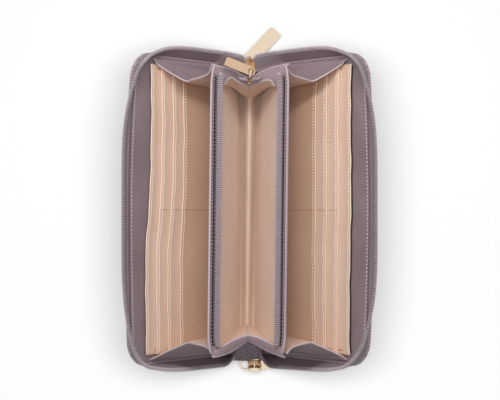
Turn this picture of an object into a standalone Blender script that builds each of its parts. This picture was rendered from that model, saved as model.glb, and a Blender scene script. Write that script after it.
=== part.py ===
"""A zip-around wallet, opened out and standing on its spine.

The spine lies on the floor along Y and the two covers lean outward from it.
Lengths are in metres and angles in degrees.
"""

import math

import bmesh
import bpy
from mathutils import Vector

# General
CLEAR = 0.0003
FRONT = 1
BACK = -1
LEFT = -1
RIGHT = 1
SIDE_NAMES = {LEFT: "left", RIGHT: "right"}
END_NAMES = {FRONT: "front", BACK: "back"}

# Spine
SPINE_WIDTH = 0.028
SPINE_THICK = 0.002
SPINE_LINING_WIDTH = 0.022
SPINE_LINING_THICK = 0.0006
SPINE_LINING_LENGTH = 0.166
RIDGE_HEIGHT = 0.006
RIDGE_WIDTH = 0.003

# Covers
COVER_LEAN = 40.0
COVER_LENGTH = 0.192
COVER_HEIGHT = 0.096
COVER_THICK = 0.002
COVER_CORNER = 0.016
COVER_FOOT = 0.0012
CORNER_STEPS = 7

# Facing, the inner leather of each cover
FACING_THICK = 0.0008
FACING_INSET = 0.002
FACING_FOOT = 0.003

# Card panels, from the tallest at the back to the lowest in front
PANEL_LENGTH = 0.178
PANEL_THICK = 0.0005
PANEL_FOOT = 0.004
PANEL_HEIGHT = 0.079
PANEL_STEP = 0.0095
PANEL_COUNT = 4

# Dividers and the coin compartment's linings
DIVIDER_LEAN = 13.5
DIVIDER_SPACING = 0.008
DIVIDER_LENGTH = 0.175
DIVIDER_HEIGHT = 0.082
DIVIDER_THICK = 0.0016
DIVIDER_CORNER = 0.004
DIVIDER_STEPS = 3
COIN_LINING_LENGTH = 0.164
COIN_LINING_HEIGHT = 0.070
COIN_LINING_THICK = 0.0006
COIN_LINING_FOOT = 0.002

# Main zip
TAPE_THICK = 0.0008
TAPE_HEIGHT = 0.0062
TAPE_INSET = 0.0007
TAPE_START = 0.016
TAPE_STEPS = 6
TAIL_STEPS = 3
LONG_STEPS = 12
COIL_RADIUS = 0.0015
COIL_SIDES = 8
SHORT_EDGE_FLARES = {
    (LEFT, FRONT): -1.0,
    (RIGHT, FRONT): 1.0,
    (LEFT, BACK): 10.0,
    (RIGHT, BACK): 3.0,
}
LONG_EDGE_FLARES = {
    (LEFT, FRONT): 8.0,
    (RIGHT, FRONT): 12.0,
    (LEFT, BACK): 30.0,
    (RIGHT, BACK): 9.0,
}
CORNER_DIPS = {
    (LEFT, FRONT): 22.0,
    (RIGHT, FRONT): 16.0,
    (LEFT, BACK): 8.0,
    (RIGHT, BACK): 22.0,
}
SHORT_FLARES = {FRONT: 45.0, BACK: 36.0}
SPINE_FLARE_DROPS = {FRONT: 0.0, BACK: 14.0}
LONG_FLARE = 71.0
SHORT_FLARE_POWER = 2.5
LONG_FLARE_POWER = 2.2
SPINE_FLARE_POWER = 3

# Coin zip
COIN_TAPE_FOOT = 0.0715
COIN_TAPE_RISE = 0.0062
COIN_TAPE_LEAN = 20.0
COIN_TAPE_LENGTH = 0.150
COIN_COIL_RADIUS = 0.0015

# Gussets
GUSSET_THICK = 0.0007
GUSSET_LINING_THICK = 0.0005
GUSSET_FOOT = 0.0025
GUSSET_HEIGHT = 0.075
GUSSET_RISE_ON_DIVIDER = 0.076
GUSSET_FOOT_ON_DIVIDER = 0.001
GUSSET_PLACE = 0.0925
GUSSET_PLACE_ON_DIVIDER = 0.0862
GUSSET_FOOT_BULGE = 0.0030
GUSSET_FOLD = 0.0115
GUSSET_DIP = 0.004
GUSSET_KNEE = 0.0036
GUSSET_ROWS = 8
CENTRE_GUSSET_PLACE = 0.0850
CENTRE_GUSSET_HEIGHT = 0.0735
CENTRE_GUSSET_FOOT = 0.003
CENTRE_FOLD = 0.0095
CENTRE_FOLD_FOOT = 0.001

# Sliders
SLIDER_WIDTH = 0.0084
SLIDER_LENGTH = 0.0105
SLIDER_PLATE = 0.0009
SLIDER_GAP = 0.0024
SLIDER_POST = 0.0014
SLIDER_BEVEL = 0.0014
BAIL_RADIUS = 0.00055
BAIL_DROP = 0.0033
BAIL_SIDES = 8
FRONT_SLIDER = Vector((0.0, 0.0930, 0.0080))
BACK_SLIDER = Vector((0.0027, -0.0988, 0.0115))
COIN_SLIDER = Vector((0.0, 0.0832, 0.0826))

# Pulls
MAIN_PULL_LENGTH = 0.0270
MAIN_PULL_WIDTH = 0.0088
MAIN_PULL_THICK = 0.0012
MAIN_EYE_HOLE = 0.0027
MAIN_PULL_DROP = 0.0014
COIN_PULL_LENGTH = 0.0165
COIN_PULL_WIDTH = 0.0054
COIN_PULL_THICK = 0.0010
COIN_EYE_HOLE = 0.0018
COIN_PULL_RISE = 0.0014
EYE_STEPS = 20
FRONT_EYE = (-0.0009, 0.0967)
BACK_EYE = (-0.0008, -0.1022)
COIN_EYE = (0.0009, 0.0830)
FRONT_PULL_TURN = 46.8
BACK_PULL_TURN = 4.0
COIN_PULL_TURN = 158.0
MAIN_BAIL_NEAR = 0.0019
MAIN_BAIL_FAR = 0.0053
COIN_BAIL_NEAR = 0.0009
COIN_BAIL_FAR = 0.00365
FRONT_BAIL_TURN = -78.0
BACK_BAIL_TURN = 80.0
COIN_BAIL_TURN = -108.0

LEATHER = (0.225, 0.170, 0.185, 1.0)
LINING = (0.610, 0.440, 0.345, 1.0)
TEXTILE = (0.300, 0.245, 0.260, 1.0)
GOLD = (0.850, 0.640, 0.430, 1.0)


def clear_scene():
    for item in list(bpy.data.objects):
        bpy.data.objects.remove(item)


def make_material(name, colour, roughness, metallic):
    material = bpy.data.materials.new(name)
    material.use_nodes = True
    shader = material.node_tree.nodes["Principled BSDF"]
    shader.inputs["Base Color"].default_value = colour
    shader.inputs["Roughness"].default_value = roughness
    shader.inputs["Metallic"].default_value = metallic
    material.diffuse_color = colour
    return material


def make_pivot(name, place):
    pivot = bpy.data.objects.new(name, None)
    bpy.context.collection.objects.link(pivot)
    pivot.location = place
    return pivot


def make_object(name, shape, material, pivot=None):
    """Turns a bmesh in world places into a named object under its pivot."""
    bmesh.ops.recalc_face_normals(shape, faces=shape.faces)
    if shape.calc_volume(signed=True) < 0:
        bmesh.ops.reverse_faces(shape, faces=shape.faces)
    if pivot is not None:
        bmesh.ops.translate(shape, verts=shape.verts, vec=-pivot.location)
    mesh = bpy.data.meshes.new(name)
    shape.to_mesh(mesh)
    shape.free()
    mesh.materials.append(material)
    made = bpy.data.objects.new(name, mesh)
    bpy.context.collection.objects.link(made)
    made.parent = pivot
    return made


class Leaf:
    """A flat leaf that leans outward from its hinge line along Y.

    Its places are rise (away from the hinge), along (the world's Y) and depth
    (toward the middle of the wallet).
    """

    def __init__(self, side, hinge, lean):
        angle = math.radians(lean)
        self.hinge = hinge
        self.rise = Vector((side * math.sin(angle), 0, math.cos(angle)))
        self.depth = Vector((-side * math.cos(angle), 0, math.sin(angle)))

    def at(self, rise, along, depth):
        return self.hinge + self.rise * rise + Vector((0, along, 0)) + self.depth * depth


def cover_leaf(side):
    hinge = Vector((side * SPINE_WIDTH / 2, 0, SPINE_THICK / 2))
    return Leaf(side, hinge, COVER_LEAN)


def divider_leaf(side):
    foot = SPINE_THICK + SPINE_LINING_THICK + 2 * CLEAR
    hinge = Vector((side * DIVIDER_SPACING / 2, 0, foot))
    return Leaf(side, hinge, DIVIDER_LEAN)


def add_ring(shape, points):
    return [shape.verts.new(point) for point in points]


def join_rings(shape, rings, closed=True):
    """Skins a row of rings that have as many points each, and caps its ends."""
    for one, two in zip(rings, rings[1:]):
        for i in range(len(one)):
            j = (i + 1) % len(one)
            shape.faces.new((one[i], one[j], two[j], two[i]))
    if closed:
        shape.faces.new(rings[0])
        shape.faces.new(reversed(rings[-1]))


def slab(leaf, outline, low, high):
    """A flat plate on a leaf, between two depths."""
    shape = bmesh.new()
    rings = [
        add_ring(shape, [leaf.at(rise, along, depth) for rise, along in outline])
        for depth in (low, high)
    ]
    join_rings(shape, rings)
    return shape


def leaf_outline(foot, height, length, corner, steps):
    """The outline of a leaf whose two upper corners are round."""
    half = length / 2
    points = [(foot, half)]
    for end in (FRONT, BACK):
        arc = []
        for k in range(steps + 1):
            angle = math.pi / 2 * k / steps
            rise = height - corner + corner * math.sin(angle)
            along = end * (half - corner + corner * math.cos(angle))
            arc.append((rise, along))
        points += arc if end == FRONT else arc[::-1]
    points.append((foot, -half))
    return points


def tube(line, radius, sides):
    """A tube along a line of points, with flat ends."""
    shape = bmesh.new()
    rings = []
    for k, point in enumerate(line):
        ahead = line[min(k + 1, len(line) - 1)]
        behind = line[max(k - 1, 0)]
        run = (ahead - behind).normalized()
        if k == 0:
            across = run.orthogonal().normalized()
        across = (across - run * across.dot(run)).normalized()
        other = run.cross(across)
        turns = [2 * math.pi * i / sides for i in range(sides)]
        ring = [point + (across * math.cos(t) + other * math.sin(t)) * radius for t in turns]
        rings.append(add_ring(shape, ring))
    join_rings(shape, rings)
    return shape


def smooth_line(points, steps):
    """A smooth curve through points, as a Catmull-Rom spline."""
    ends = [2 * points[0] - points[1], *points, 2 * points[-1] - points[-2]]
    line = []
    for a, b, c, d in zip(ends, ends[1:], ends[2:], ends[3:]):
        for k in range(steps):
            t = k / steps
            square = t * t
            cube = square * t
            line.append(
                (b * 2 + (c - a) * t + (a * 2 - b * 5 + c * 4 - d) * square
                 + (b * 3 - a - c * 3 + d) * cube) / 2
            )
    line.append(points[-1].copy())
    return line


# Spine


def make_spine(leather, lining):
    """The spine panel, and the lining on it with the ridge that parts the coins."""
    half_width = SPINE_WIDTH / 2 - CLEAR
    half_length = COVER_LENGTH / 2
    shape = bmesh.new()
    rings = []
    for height in (0, SPINE_THICK):
        corners = [(-1, -1), (1, -1), (1, 1), (-1, 1)]
        ring = [Vector((x * half_width, y * half_length, height)) for x, y in corners]
        rings.append(add_ring(shape, ring))
    join_rings(shape, rings)
    make_object("spine_panel", shape, leather)

    foot = SPINE_THICK + CLEAR / 2
    top = foot + SPINE_LINING_THICK
    half_lining = SPINE_LINING_WIDTH / 2
    half_ridge = RIDGE_WIDTH / 2
    profile = [
        (-half_lining, foot),
        (half_lining, foot),
        (half_lining, top),
        (half_ridge, top),
        (0, top + RIDGE_HEIGHT),
        (-half_ridge, top),
        (-half_lining, top),
    ]
    shape = bmesh.new()
    rings = [
        add_ring(shape, [Vector((x, end * SPINE_LINING_LENGTH / 2, z)) for x, z in profile])
        for end in (BACK, FRONT)
    ]
    join_rings(shape, rings)
    make_object("spine_lining", shape, lining)


# Covers


def facing_top():
    return COVER_THICK + CLEAR + FACING_THICK


def make_cover(side, leaf, pivot, leather, lining):
    """The cover, its facing and the four stepped card panels."""
    name = SIDE_NAMES[side]
    outline = leaf_outline(COVER_FOOT, COVER_HEIGHT, COVER_LENGTH, COVER_CORNER, CORNER_STEPS)
    make_object(f"{name}_cover", slab(leaf, outline, 0, COVER_THICK), leather, pivot)

    outline = leaf_outline(
        FACING_FOOT,
        COVER_HEIGHT - FACING_INSET,
        COVER_LENGTH - 2 * FACING_INSET,
        COVER_CORNER - FACING_INSET,
        CORNER_STEPS,
    )
    low = COVER_THICK + CLEAR
    make_object(f"{name}_facing", slab(leaf, outline, low, facing_top()), leather, pivot)

    half = PANEL_LENGTH / 2
    for k in range(PANEL_COUNT):
        height = PANEL_HEIGHT - k * PANEL_STEP
        low = facing_top() + CLEAR + k * (PANEL_THICK + CLEAR)
        outline = [(PANEL_FOOT, -half), (height, -half), (height, half), (PANEL_FOOT, half)]
        shape = slab(leaf, outline, low, low + PANEL_THICK)
        make_object(f"{name}_card_panel_{k + 1}", shape, lining, pivot)


# Main zip


def eased(share, power, free, edge):
    """A flare that keeps near free and turns to edge as the share nears 1."""
    return edge + (free - edge) * math.cos(math.pi / 2 * share**power)


def short_flare(side, end, share):
    """The zip's flare along a short edge, from the spine (0) to the corner (1)."""
    free = SHORT_FLARES[end] - SPINE_FLARE_DROPS[end] * (1 - share) ** SPINE_FLARE_POWER
    return eased(share, SHORT_FLARE_POWER, free, SHORT_EDGE_FLARES[side, end])


def corner_flare(side, end, share):
    """The zip's flare round a corner, from the short edge (0) to the long one (1)."""
    start, stop = SHORT_EDGE_FLARES[side, end], LONG_EDGE_FLARES[side, end]
    return start + (stop - start) * share - CORNER_DIPS[side, end] * math.sin(math.pi * share)


def long_flare(side, end, share):
    """The zip's flare along the long edge, from its middle (0) to the corner (1)."""
    return eased(share, LONG_FLARE_POWER, LONG_FLARE, LONG_EDGE_FLARES[side, end])


def edge_quarter(side, end):
    """Half of the cover's edge, from the spine round one corner to the middle."""
    half = COVER_LENGTH / 2
    straight_rise = COVER_HEIGHT - COVER_CORNER
    straight_along = half - COVER_CORNER
    places = []
    for k in range(TAPE_STEPS):
        share = k / TAPE_STEPS
        rise = TAPE_START + (straight_rise - TAPE_START) * share
        places.append((rise, end * half, 0.0, end, short_flare(side, end, share)))
    for k in range(CORNER_STEPS + 1):
        share = k / CORNER_STEPS
        angle = math.pi / 2 * share
        up, out = math.sin(angle), end * math.cos(angle)
        along = end * straight_along + COVER_CORNER * out
        rise = straight_rise + COVER_CORNER * up
        places.append((rise, along, up, out, corner_flare(side, end, share)))
    for k in range(1, LONG_STEPS // 2):
        share = 1 - 2 * k / LONG_STEPS
        along = end * straight_along * share
        places.append((COVER_HEIGHT, along, 1.0, 0.0, long_flare(side, end, share)))
    return places


def edge_places(side):
    """Places along the cover's edge, each with its outward direction and flare."""
    middle = [(COVER_HEIGHT, 0.0, 1.0, 0.0, LONG_FLARE)]
    return edge_quarter(side, FRONT) + middle + edge_quarter(side, BACK)[::-1]


def zip_frames(side, leaf):
    """The foot, direction and outward side of the tape all along the edge."""
    frames = []
    for rise, along, up, out, flare in edge_places(side):
        angle = math.radians(flare)
        outward = leaf.rise * up + Vector((0, out, 0))
        lift = TAPE_THICK / 2 * abs(math.sin(angle))
        foot = leaf.at(rise, along, COVER_THICK + CLEAR + lift) - outward * TAPE_INSET
        run = leaf.depth * math.cos(angle) + outward * math.sin(angle)
        across = outward * math.cos(angle) - leaf.depth * math.sin(angle)
        frames.append((foot, run, across))
    return frames


def coil_line(side, leaf):
    reach = TAPE_HEIGHT + CLEAR + COIL_RADIUS
    return [foot + run * reach for foot, run, across in zip_frames(side, leaf)]


def make_main_zip(side, leaf, pivot, textile):
    """The zip tape that stands round the cover's edge, and the coil along it."""
    name = SIDE_NAMES[side]
    shape = bmesh.new()
    rings = []
    for foot, run, across in zip_frames(side, leaf):
        half = across * TAPE_THICK / 2
        top = foot + run * TAPE_HEIGHT
        rings.append(add_ring(shape, [foot - half, foot + half, top + half, top - half]))
    join_rings(shape, rings)
    make_object(f"{name}_zip_tape", shape, textile, pivot)
    shape = tube(coil_line(side, leaf), COIL_RADIUS, COIL_SIDES)
    make_object(f"{name}_zip_coil", shape, textile, pivot)


def tail_curve(begin, onward, mouth, run, side):
    """The line of a loose zip end, square to the coil and to the slider's mouth."""
    lead = begin + onward * COIL_RADIUS
    straight = mouth + run * COIL_RADIUS
    bend = straight + run * COIL_RADIUS + Vector((side * 2 * COIL_RADIUS, 0, 0))
    curve = smooth_line([lead, lead.lerp(bend, 0.5), bend, straight], TAIL_STEPS)
    return [begin, *curve, mouth]


def make_zip_tail(side, end, leaf, pivot, textile):
    """The loose end of a zip half, from the cover into the slider's mouth."""
    line = coil_line(side, leaf)
    start, after = (line[0], line[1]) if end == FRONT else (line[-1], line[-2])
    outward = (start - after).normalized()
    begin = start + outward * 2 * CLEAR
    middle = FRONT_SLIDER if end == FRONT else BACK_SLIDER
    lane = SLIDER_POST / 2 + CLEAR + COIL_RADIUS
    run = Vector((0, 1, 0)) if end == FRONT else Vector((0, 0, 1))
    mouth = middle + run * (SLIDER_LENGTH / 2 + CLEAR) + Vector((side * lane, 0, 0))
    curve = tail_curve(begin, outward, mouth, run, side)
    shape = tube(curve, COIL_RADIUS, COIL_SIDES)
    make_object(f"{SIDE_NAMES[side]}_{END_NAMES[end]}_zip_tail", shape, textile, pivot)


# Dividers and coin compartment


def make_divider(side, leaf, pivot, leather, lining):
    name = SIDE_NAMES[side]
    half = DIVIDER_THICK / 2
    outline = leaf_outline(0, DIVIDER_HEIGHT, DIVIDER_LENGTH, DIVIDER_CORNER, DIVIDER_STEPS)
    make_object(f"{name}_divider", slab(leaf, outline, -half, half), leather, pivot)
    low = half + CLEAR
    edge = COIN_LINING_LENGTH / 2
    outline = [
        (COIN_LINING_FOOT, -edge),
        (COIN_LINING_HEIGHT, -edge),
        (COIN_LINING_HEIGHT, edge),
        (COIN_LINING_FOOT, edge),
    ]
    shape = slab(leaf, outline, low, low + COIN_LINING_THICK)
    make_object(f"{name}_coin_lining", shape, lining, pivot)


def coin_coil_place(leaf, along):
    """The middle of the coin zip's coil, off the top of its tape."""
    angle = math.radians(COIN_TAPE_LEAN)
    reach = COIN_TAPE_RISE + CLEAR + COIN_COIL_RADIUS
    rise = COIN_TAPE_FOOT + reach * math.cos(angle)
    return leaf.at(rise, along, coin_tape_depth() + reach * math.sin(angle))


def coin_tape_depth():
    return DIVIDER_THICK / 2 + CLEAR + TAPE_THICK / 2


def make_coin_zip(side, leaf, pivot, textile):
    """The coin zip's tape above the lining, leaning in, and the coil along it."""
    name = SIDE_NAMES[side]
    angle = math.radians(COIN_TAPE_LEAN)
    shape = bmesh.new()
    rings = []
    for along in (-COIN_TAPE_LENGTH / 2, COIN_TAPE_LENGTH / 2):
        low = coin_tape_depth()
        rise = COIN_TAPE_RISE * math.cos(angle)
        lean = COIN_TAPE_RISE * math.sin(angle)
        half = TAPE_THICK / 2
        corners = [
            (COIN_TAPE_FOOT, low - half),
            (COIN_TAPE_FOOT, low + half),
            (COIN_TAPE_FOOT + rise, low + lean + half),
            (COIN_TAPE_FOOT + rise, low + lean - half),
        ]
        rings.append(add_ring(shape, [leaf.at(up, along, depth) for up, depth in corners]))
    join_rings(shape, rings)
    make_object(f"{name}_coin_zip_tape", shape, textile, pivot)
    line = [coin_coil_place(leaf, share * COIN_TAPE_LENGTH / 2) for share in (-1, 0, 1)]
    shape = tube(line, COIN_COIL_RADIUS, COIL_SIDES)
    make_object(f"{name}_coin_zip_coil", shape, textile, pivot)


def make_coin_tail(side, leaf, pivot, textile):
    """The end of the coin zip's coil, curving in to its slider."""
    begin = coin_coil_place(leaf, COIN_TAPE_LENGTH / 2 + 2 * CLEAR)
    lane = SLIDER_POST / 2 + CLEAR + COIN_COIL_RADIUS
    run = Vector((0, -1, 0))
    mouth = COIN_SLIDER + run * (SLIDER_LENGTH / 2 + CLEAR) + Vector((side * lane, 0, 0))
    curve = tail_curve(begin, Vector((0, 1, 0)), mouth, run, side)
    shape = tube(curve, COIN_COIL_RADIUS, COIL_SIDES)
    make_object(f"{SIDE_NAMES[side]}_coin_zip_tail", shape, textile, pivot)


# Gussets


def sheet(rows, end, low, high):
    """A folded sheet through rows of points, between two distances outward.

    Both of its faces are cut along the same diagonals, so that sheets laid over
    each other keep their distance.
    """
    shape = bmesh.new()
    grids = []
    for distance in (low, high):
        out = Vector((0, end * distance, 0))
        grids.append([add_ring(shape, [point + out for point in row]) for row in rows])
    inner, outer = grids
    rings = [one + two[::-1] for one, two in zip(inner, outer)]
    width = len(rows[0])
    for one, two in zip(rings, rings[1:]):
        for i in range(2 * width):
            j = (i + 1) % (2 * width)
            if i < width:
                shape.faces.new((one[i], one[j], two[j]))
                shape.faces.new((one[i], two[j], two[i]))
            else:
                shape.faces.new((one[i], one[j], two[i]))
                shape.faces.new((one[j], two[j], two[i]))
    for ring in (rings[0], rings[-1]):
        for i in range(width - 1):
            shape.faces.new((ring[i], ring[i + 1], ring[-i - 2], ring[-i - 1]))
    return shape


def fold_rows(side, end):
    """Rows up a side gusset, each from the cover over the inward fold to the divider."""
    cover = cover_leaf(side)
    divider = divider_leaf(side)
    rows = []
    for k in range(GUSSET_ROWS + 1):
        share = k / GUSSET_ROWS
        rise = GUSSET_FOOT + (GUSSET_HEIGHT - GUSSET_FOOT) * share
        on_cover = cover.at(rise, end * GUSSET_PLACE, facing_top() + CLEAR)
        span = GUSSET_RISE_ON_DIVIDER - GUSSET_FOOT_ON_DIVIDER
        rise = GUSSET_FOOT_ON_DIVIDER + span * share
        depth = -DIVIDER_THICK / 2 - CLEAR
        on_divider = divider.at(rise, end * GUSSET_PLACE_ON_DIVIDER, depth)
        fold = (GUSSET_FOLD + GUSSET_FOOT_BULGE) * share - GUSSET_FOOT_BULGE
        apex = on_cover.lerp(on_divider, 0.5)
        apex += Vector((0, -end * fold, -GUSSET_DIP * share))
        knee_share = math.sqrt((k + 1) / (GUSSET_ROWS + 1))
        knee = on_cover + cover.depth * GUSSET_KNEE * knee_share
        knee -= Vector((0, end * GUSSET_THICK, 0))
        rows.append([on_cover, knee, apex, apex.lerp(on_divider, 0.5), on_divider])
    return rows


def centre_rows(end):
    """Rows up the centre gusset, from the left divider over the fold to the right one."""
    rows = []
    for k in range(GUSSET_ROWS + 1):
        share = k / GUSSET_ROWS
        rise = CENTRE_GUSSET_FOOT + (CENTRE_GUSSET_HEIGHT - CENTRE_GUSSET_FOOT) * share
        ends = []
        for side in (LEFT, RIGHT):
            depth = DIVIDER_THICK / 2 + CLEAR
            ends.append(divider_leaf(side).at(rise, end * CENTRE_GUSSET_PLACE, depth))
        fold = CENTRE_FOLD_FOOT + (CENTRE_FOLD - CENTRE_FOLD_FOOT) * share
        apex = ends[0].lerp(ends[1], 0.5) + Vector((0, -end * fold, 0))
        rows.append(
            [ends[0], ends[0].lerp(apex, 0.5), apex, apex.lerp(ends[1], 0.5), ends[1]]
        )
    return rows


def make_gusset(name, rows, end, pivot, leather, lining):
    """A folding gusset: leather outside and lining inside."""
    inside = GUSSET_LINING_THICK + CLEAR
    shape = sheet(rows, end, inside, inside + GUSSET_THICK)
    make_object(f"{name}_gusset", shape, leather, pivot)
    shape = sheet(rows, end, 0, GUSSET_LINING_THICK)
    make_object(f"{name}_gusset_lining", shape, lining, pivot)


# Sliders and pulls


def unite(target, other):
    """Adds another object's shape to the target and hides the other."""
    other.hide_render = True
    other.display_type = "WIRE"
    union = target.modifiers.new("union", "BOOLEAN")
    union.operation = "UNION"
    union.object = other


def flat_turn(turn):
    angle = math.radians(turn)
    return Vector((math.cos(angle), math.sin(angle), 0))


def bail_line(eye, bail_turn, near, far, foot, away, drop):
    """The wire loop that holds a pull: down, across under the eye, and back up."""
    way = flat_turn(bail_turn)
    first = Vector((eye[0], eye[1], 0)) + way * near
    second = Vector((eye[0], eye[1], 0)) + way * far
    lift = Vector((0, 0, 1))
    corners = [(first, foot), (first, away + drop), (second, away + drop), (second, foot)]
    return [place + lift * height for place, height in corners]


def is_plate_corner(edge, middle, across, face):
    """Says whether an edge runs through a plate's thickness at one of its corners."""
    one, two = edge.verts
    run = (two.co - one.co).normalized()
    outside = abs((one.co - middle).dot(across)) > SLIDER_WIDTH / 2 - CLEAR
    return outside and abs(run.dot(face)) > 0.99


def make_slider(name, middle, run, face, bail, pivot, gold):
    """A slider body with two plates on a post, and the bail that holds its pull."""
    across = run.cross(face)
    half_gap = SLIDER_GAP / 2
    half_thick = half_gap + SLIDER_PLATE
    half_post = SLIDER_POST / 2
    half_width = SLIDER_WIDTH / 2
    profile = [
        (-half_width, -half_thick),
        (half_width, -half_thick),
        (half_width, -half_gap),
        (half_post, -half_gap),
        (half_post, half_gap),
        (half_width, half_gap),
        (half_width, half_thick),
        (-half_width, half_thick),
        (-half_width, half_gap),
        (-half_post, half_gap),
        (-half_post, -half_gap),
        (-half_width, -half_gap),
    ]
    shape = bmesh.new()
    rings = []
    for end in (-1, 1):
        place = middle + run * (end * SLIDER_LENGTH / 2)
        rings.append(add_ring(shape, [place + across * x + face * y for x, y in profile]))
    join_rings(shape, rings)
    corners = [edge for edge in shape.edges if is_plate_corner(edge, middle, across, face)]
    bmesh.ops.bevel(
        shape, geom=corners, offset=SLIDER_BEVEL, segments=3, affect="EDGES", profile=0.5
    )
    body = make_object(name, shape, gold, pivot)
    wire = make_object(f"{name}_bail", tube(bail, BAIL_RADIUS, BAIL_SIDES), gold, pivot)
    unite(body, wire)
    return body


def make_pull(name, eye, height, turn, sizes, pivot, gold):
    """A flat bar with a round eye end, lying level and turned about its eye."""
    length, width, thick, hole = sizes
    way = flat_turn(turn)
    across = Vector((-way.y, way.x, 0))
    middle = Vector((eye[0], eye[1], height))
    half = width / 2
    outline = [(length, -half), (length, half)]
    for k in range(EYE_STEPS + 1):
        angle = math.pi / 2 + math.pi * k / EYE_STEPS
        outline.append((half * math.cos(angle), half * math.sin(angle)))
    shape = bmesh.new()
    rings = []
    for level in (-thick / 2, thick / 2):
        lift = Vector((0, 0, level))
        rings.append(add_ring(shape, [middle + way * x + across * y + lift for x, y in outline]))
    join_rings(shape, rings)
    body = make_object(name, shape, gold, pivot)

    lift = Vector((0, 0, thick))
    drill = tube([middle - lift, middle + lift], hole, EYE_STEPS)
    cutter = make_object(f"{name}_hole", drill, gold, pivot)
    cutter.hide_render = True
    cutter.display_type = "WIRE"
    cut = body.modifiers.new("eye", "BOOLEAN")
    cut.operation = "DIFFERENCE"
    cut.object = cutter
    return body


def main_pull_sizes():
    return (MAIN_PULL_LENGTH, MAIN_PULL_WIDTH, MAIN_PULL_THICK, MAIN_EYE_HOLE)


def coin_pull_sizes():
    return (COIN_PULL_LENGTH, COIN_PULL_WIDTH, COIN_PULL_THICK, COIN_EYE_HOLE)


def half_slider():
    return SLIDER_GAP / 2 + SLIDER_PLATE


def make_front_slider(gold):
    """The main slider that lies at the front end, its mouth outward."""
    pivot = make_pivot("front_slider_pivot", FRONT_SLIDER)
    under = FRONT_SLIDER.z - half_slider()
    bail = bail_line(
        FRONT_EYE, FRONT_BAIL_TURN, MAIN_BAIL_NEAR, MAIN_BAIL_FAR,
        under + SLIDER_PLATE / 2, under, -BAIL_DROP + BAIL_RADIUS,
    )
    run, face = Vector((0, 1, 0)), Vector((0, 0, 1))
    make_slider("front_slider", FRONT_SLIDER, run, face, bail, pivot, gold)
    height = under - MAIN_PULL_DROP
    pull_pivot = make_pivot("front_pull_pivot", Vector((*FRONT_EYE, height)))
    make_pull(
        "front_pull", FRONT_EYE, height, FRONT_PULL_TURN, main_pull_sizes(), pull_pivot, gold
    )


def make_back_slider(gold):
    """The main slider that stands at the back end, its mouth up."""
    pivot = make_pivot("back_slider_pivot", BACK_SLIDER)
    under = BACK_SLIDER.z - SLIDER_LENGTH / 2
    bail = bail_line(
        BACK_EYE, BACK_BAIL_TURN, MAIN_BAIL_NEAR, MAIN_BAIL_FAR,
        under + SLIDER_PLATE, under, -BAIL_DROP + BAIL_RADIUS,
    )
    run, face = Vector((0, 0, 1)), Vector((0, -1, 0))
    make_slider("back_slider", BACK_SLIDER, run, face, bail, pivot, gold)
    height = under - MAIN_PULL_DROP
    pull_pivot = make_pivot("back_pull_pivot", Vector((*BACK_EYE, height)))
    make_pull(
        "back_pull", BACK_EYE, height, BACK_PULL_TURN, main_pull_sizes(), pull_pivot, gold
    )


def make_coin_slider(gold):
    """The coin zip's slider, its mouth toward the open compartment."""
    pivot = make_pivot("coin_slider_pivot", COIN_SLIDER)
    over = COIN_SLIDER.z + half_slider()
    bail = bail_line(
        COIN_EYE, COIN_BAIL_TURN, COIN_BAIL_NEAR, COIN_BAIL_FAR,
        over - SLIDER_PLATE / 2, over, BAIL_DROP - BAIL_RADIUS,
    )
    run, face = Vector((0, -1, 0)), Vector((0, 0, 1))
    make_slider("coin_slider", COIN_SLIDER, run, face, bail, pivot, gold)
    height = over + COIN_PULL_RISE
    pull_pivot = make_pivot("coin_pull_pivot", Vector((*COIN_EYE, height)))
    make_pull(
        "coin_pull", COIN_EYE, height, COIN_PULL_TURN, coin_pull_sizes(), pull_pivot, gold
    )


def main():
    clear_scene()
    leather = make_material("taupe_leather", LEATHER, 0.62, 0.0)
    lining = make_material("blush_lining", LINING, 0.75, 0.0)
    textile = make_material("zip_textile", TEXTILE, 0.6, 0.0)
    gold = make_material("pale_gold", GOLD, 0.25, 1.0)
    make_spine(leather, lining)
    for side in (LEFT, RIGHT):
        name = SIDE_NAMES[side]
        cover = cover_leaf(side)
        pivot = make_pivot(f"{name}_cover_pivot", cover.hinge)
        make_cover(side, cover, pivot, leather, lining)
        make_main_zip(side, cover, pivot, textile)
        for end in (FRONT, BACK):
            make_zip_tail(side, end, cover, pivot, textile)
            gusset = f"{name}_{END_NAMES[end]}"
            make_gusset(gusset, fold_rows(side, end), end, pivot, leather, lining)
        divider = divider_leaf(side)
        pivot = make_pivot(f"{name}_divider_pivot", divider.hinge)
        make_divider(side, divider, pivot, leather, lining)
        make_coin_zip(side, divider, pivot, textile)
        make_coin_tail(side, divider, pivot, textile)
    for end in (FRONT, BACK):
        gusset = f"centre_{END_NAMES[end]}"
        make_gusset(gusset, centre_rows(end), end, None, leather, lining)
    make_front_slider(gold)
    make_back_slider(gold)
    make_coin_slider(gold)


main()
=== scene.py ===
import math

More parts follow.
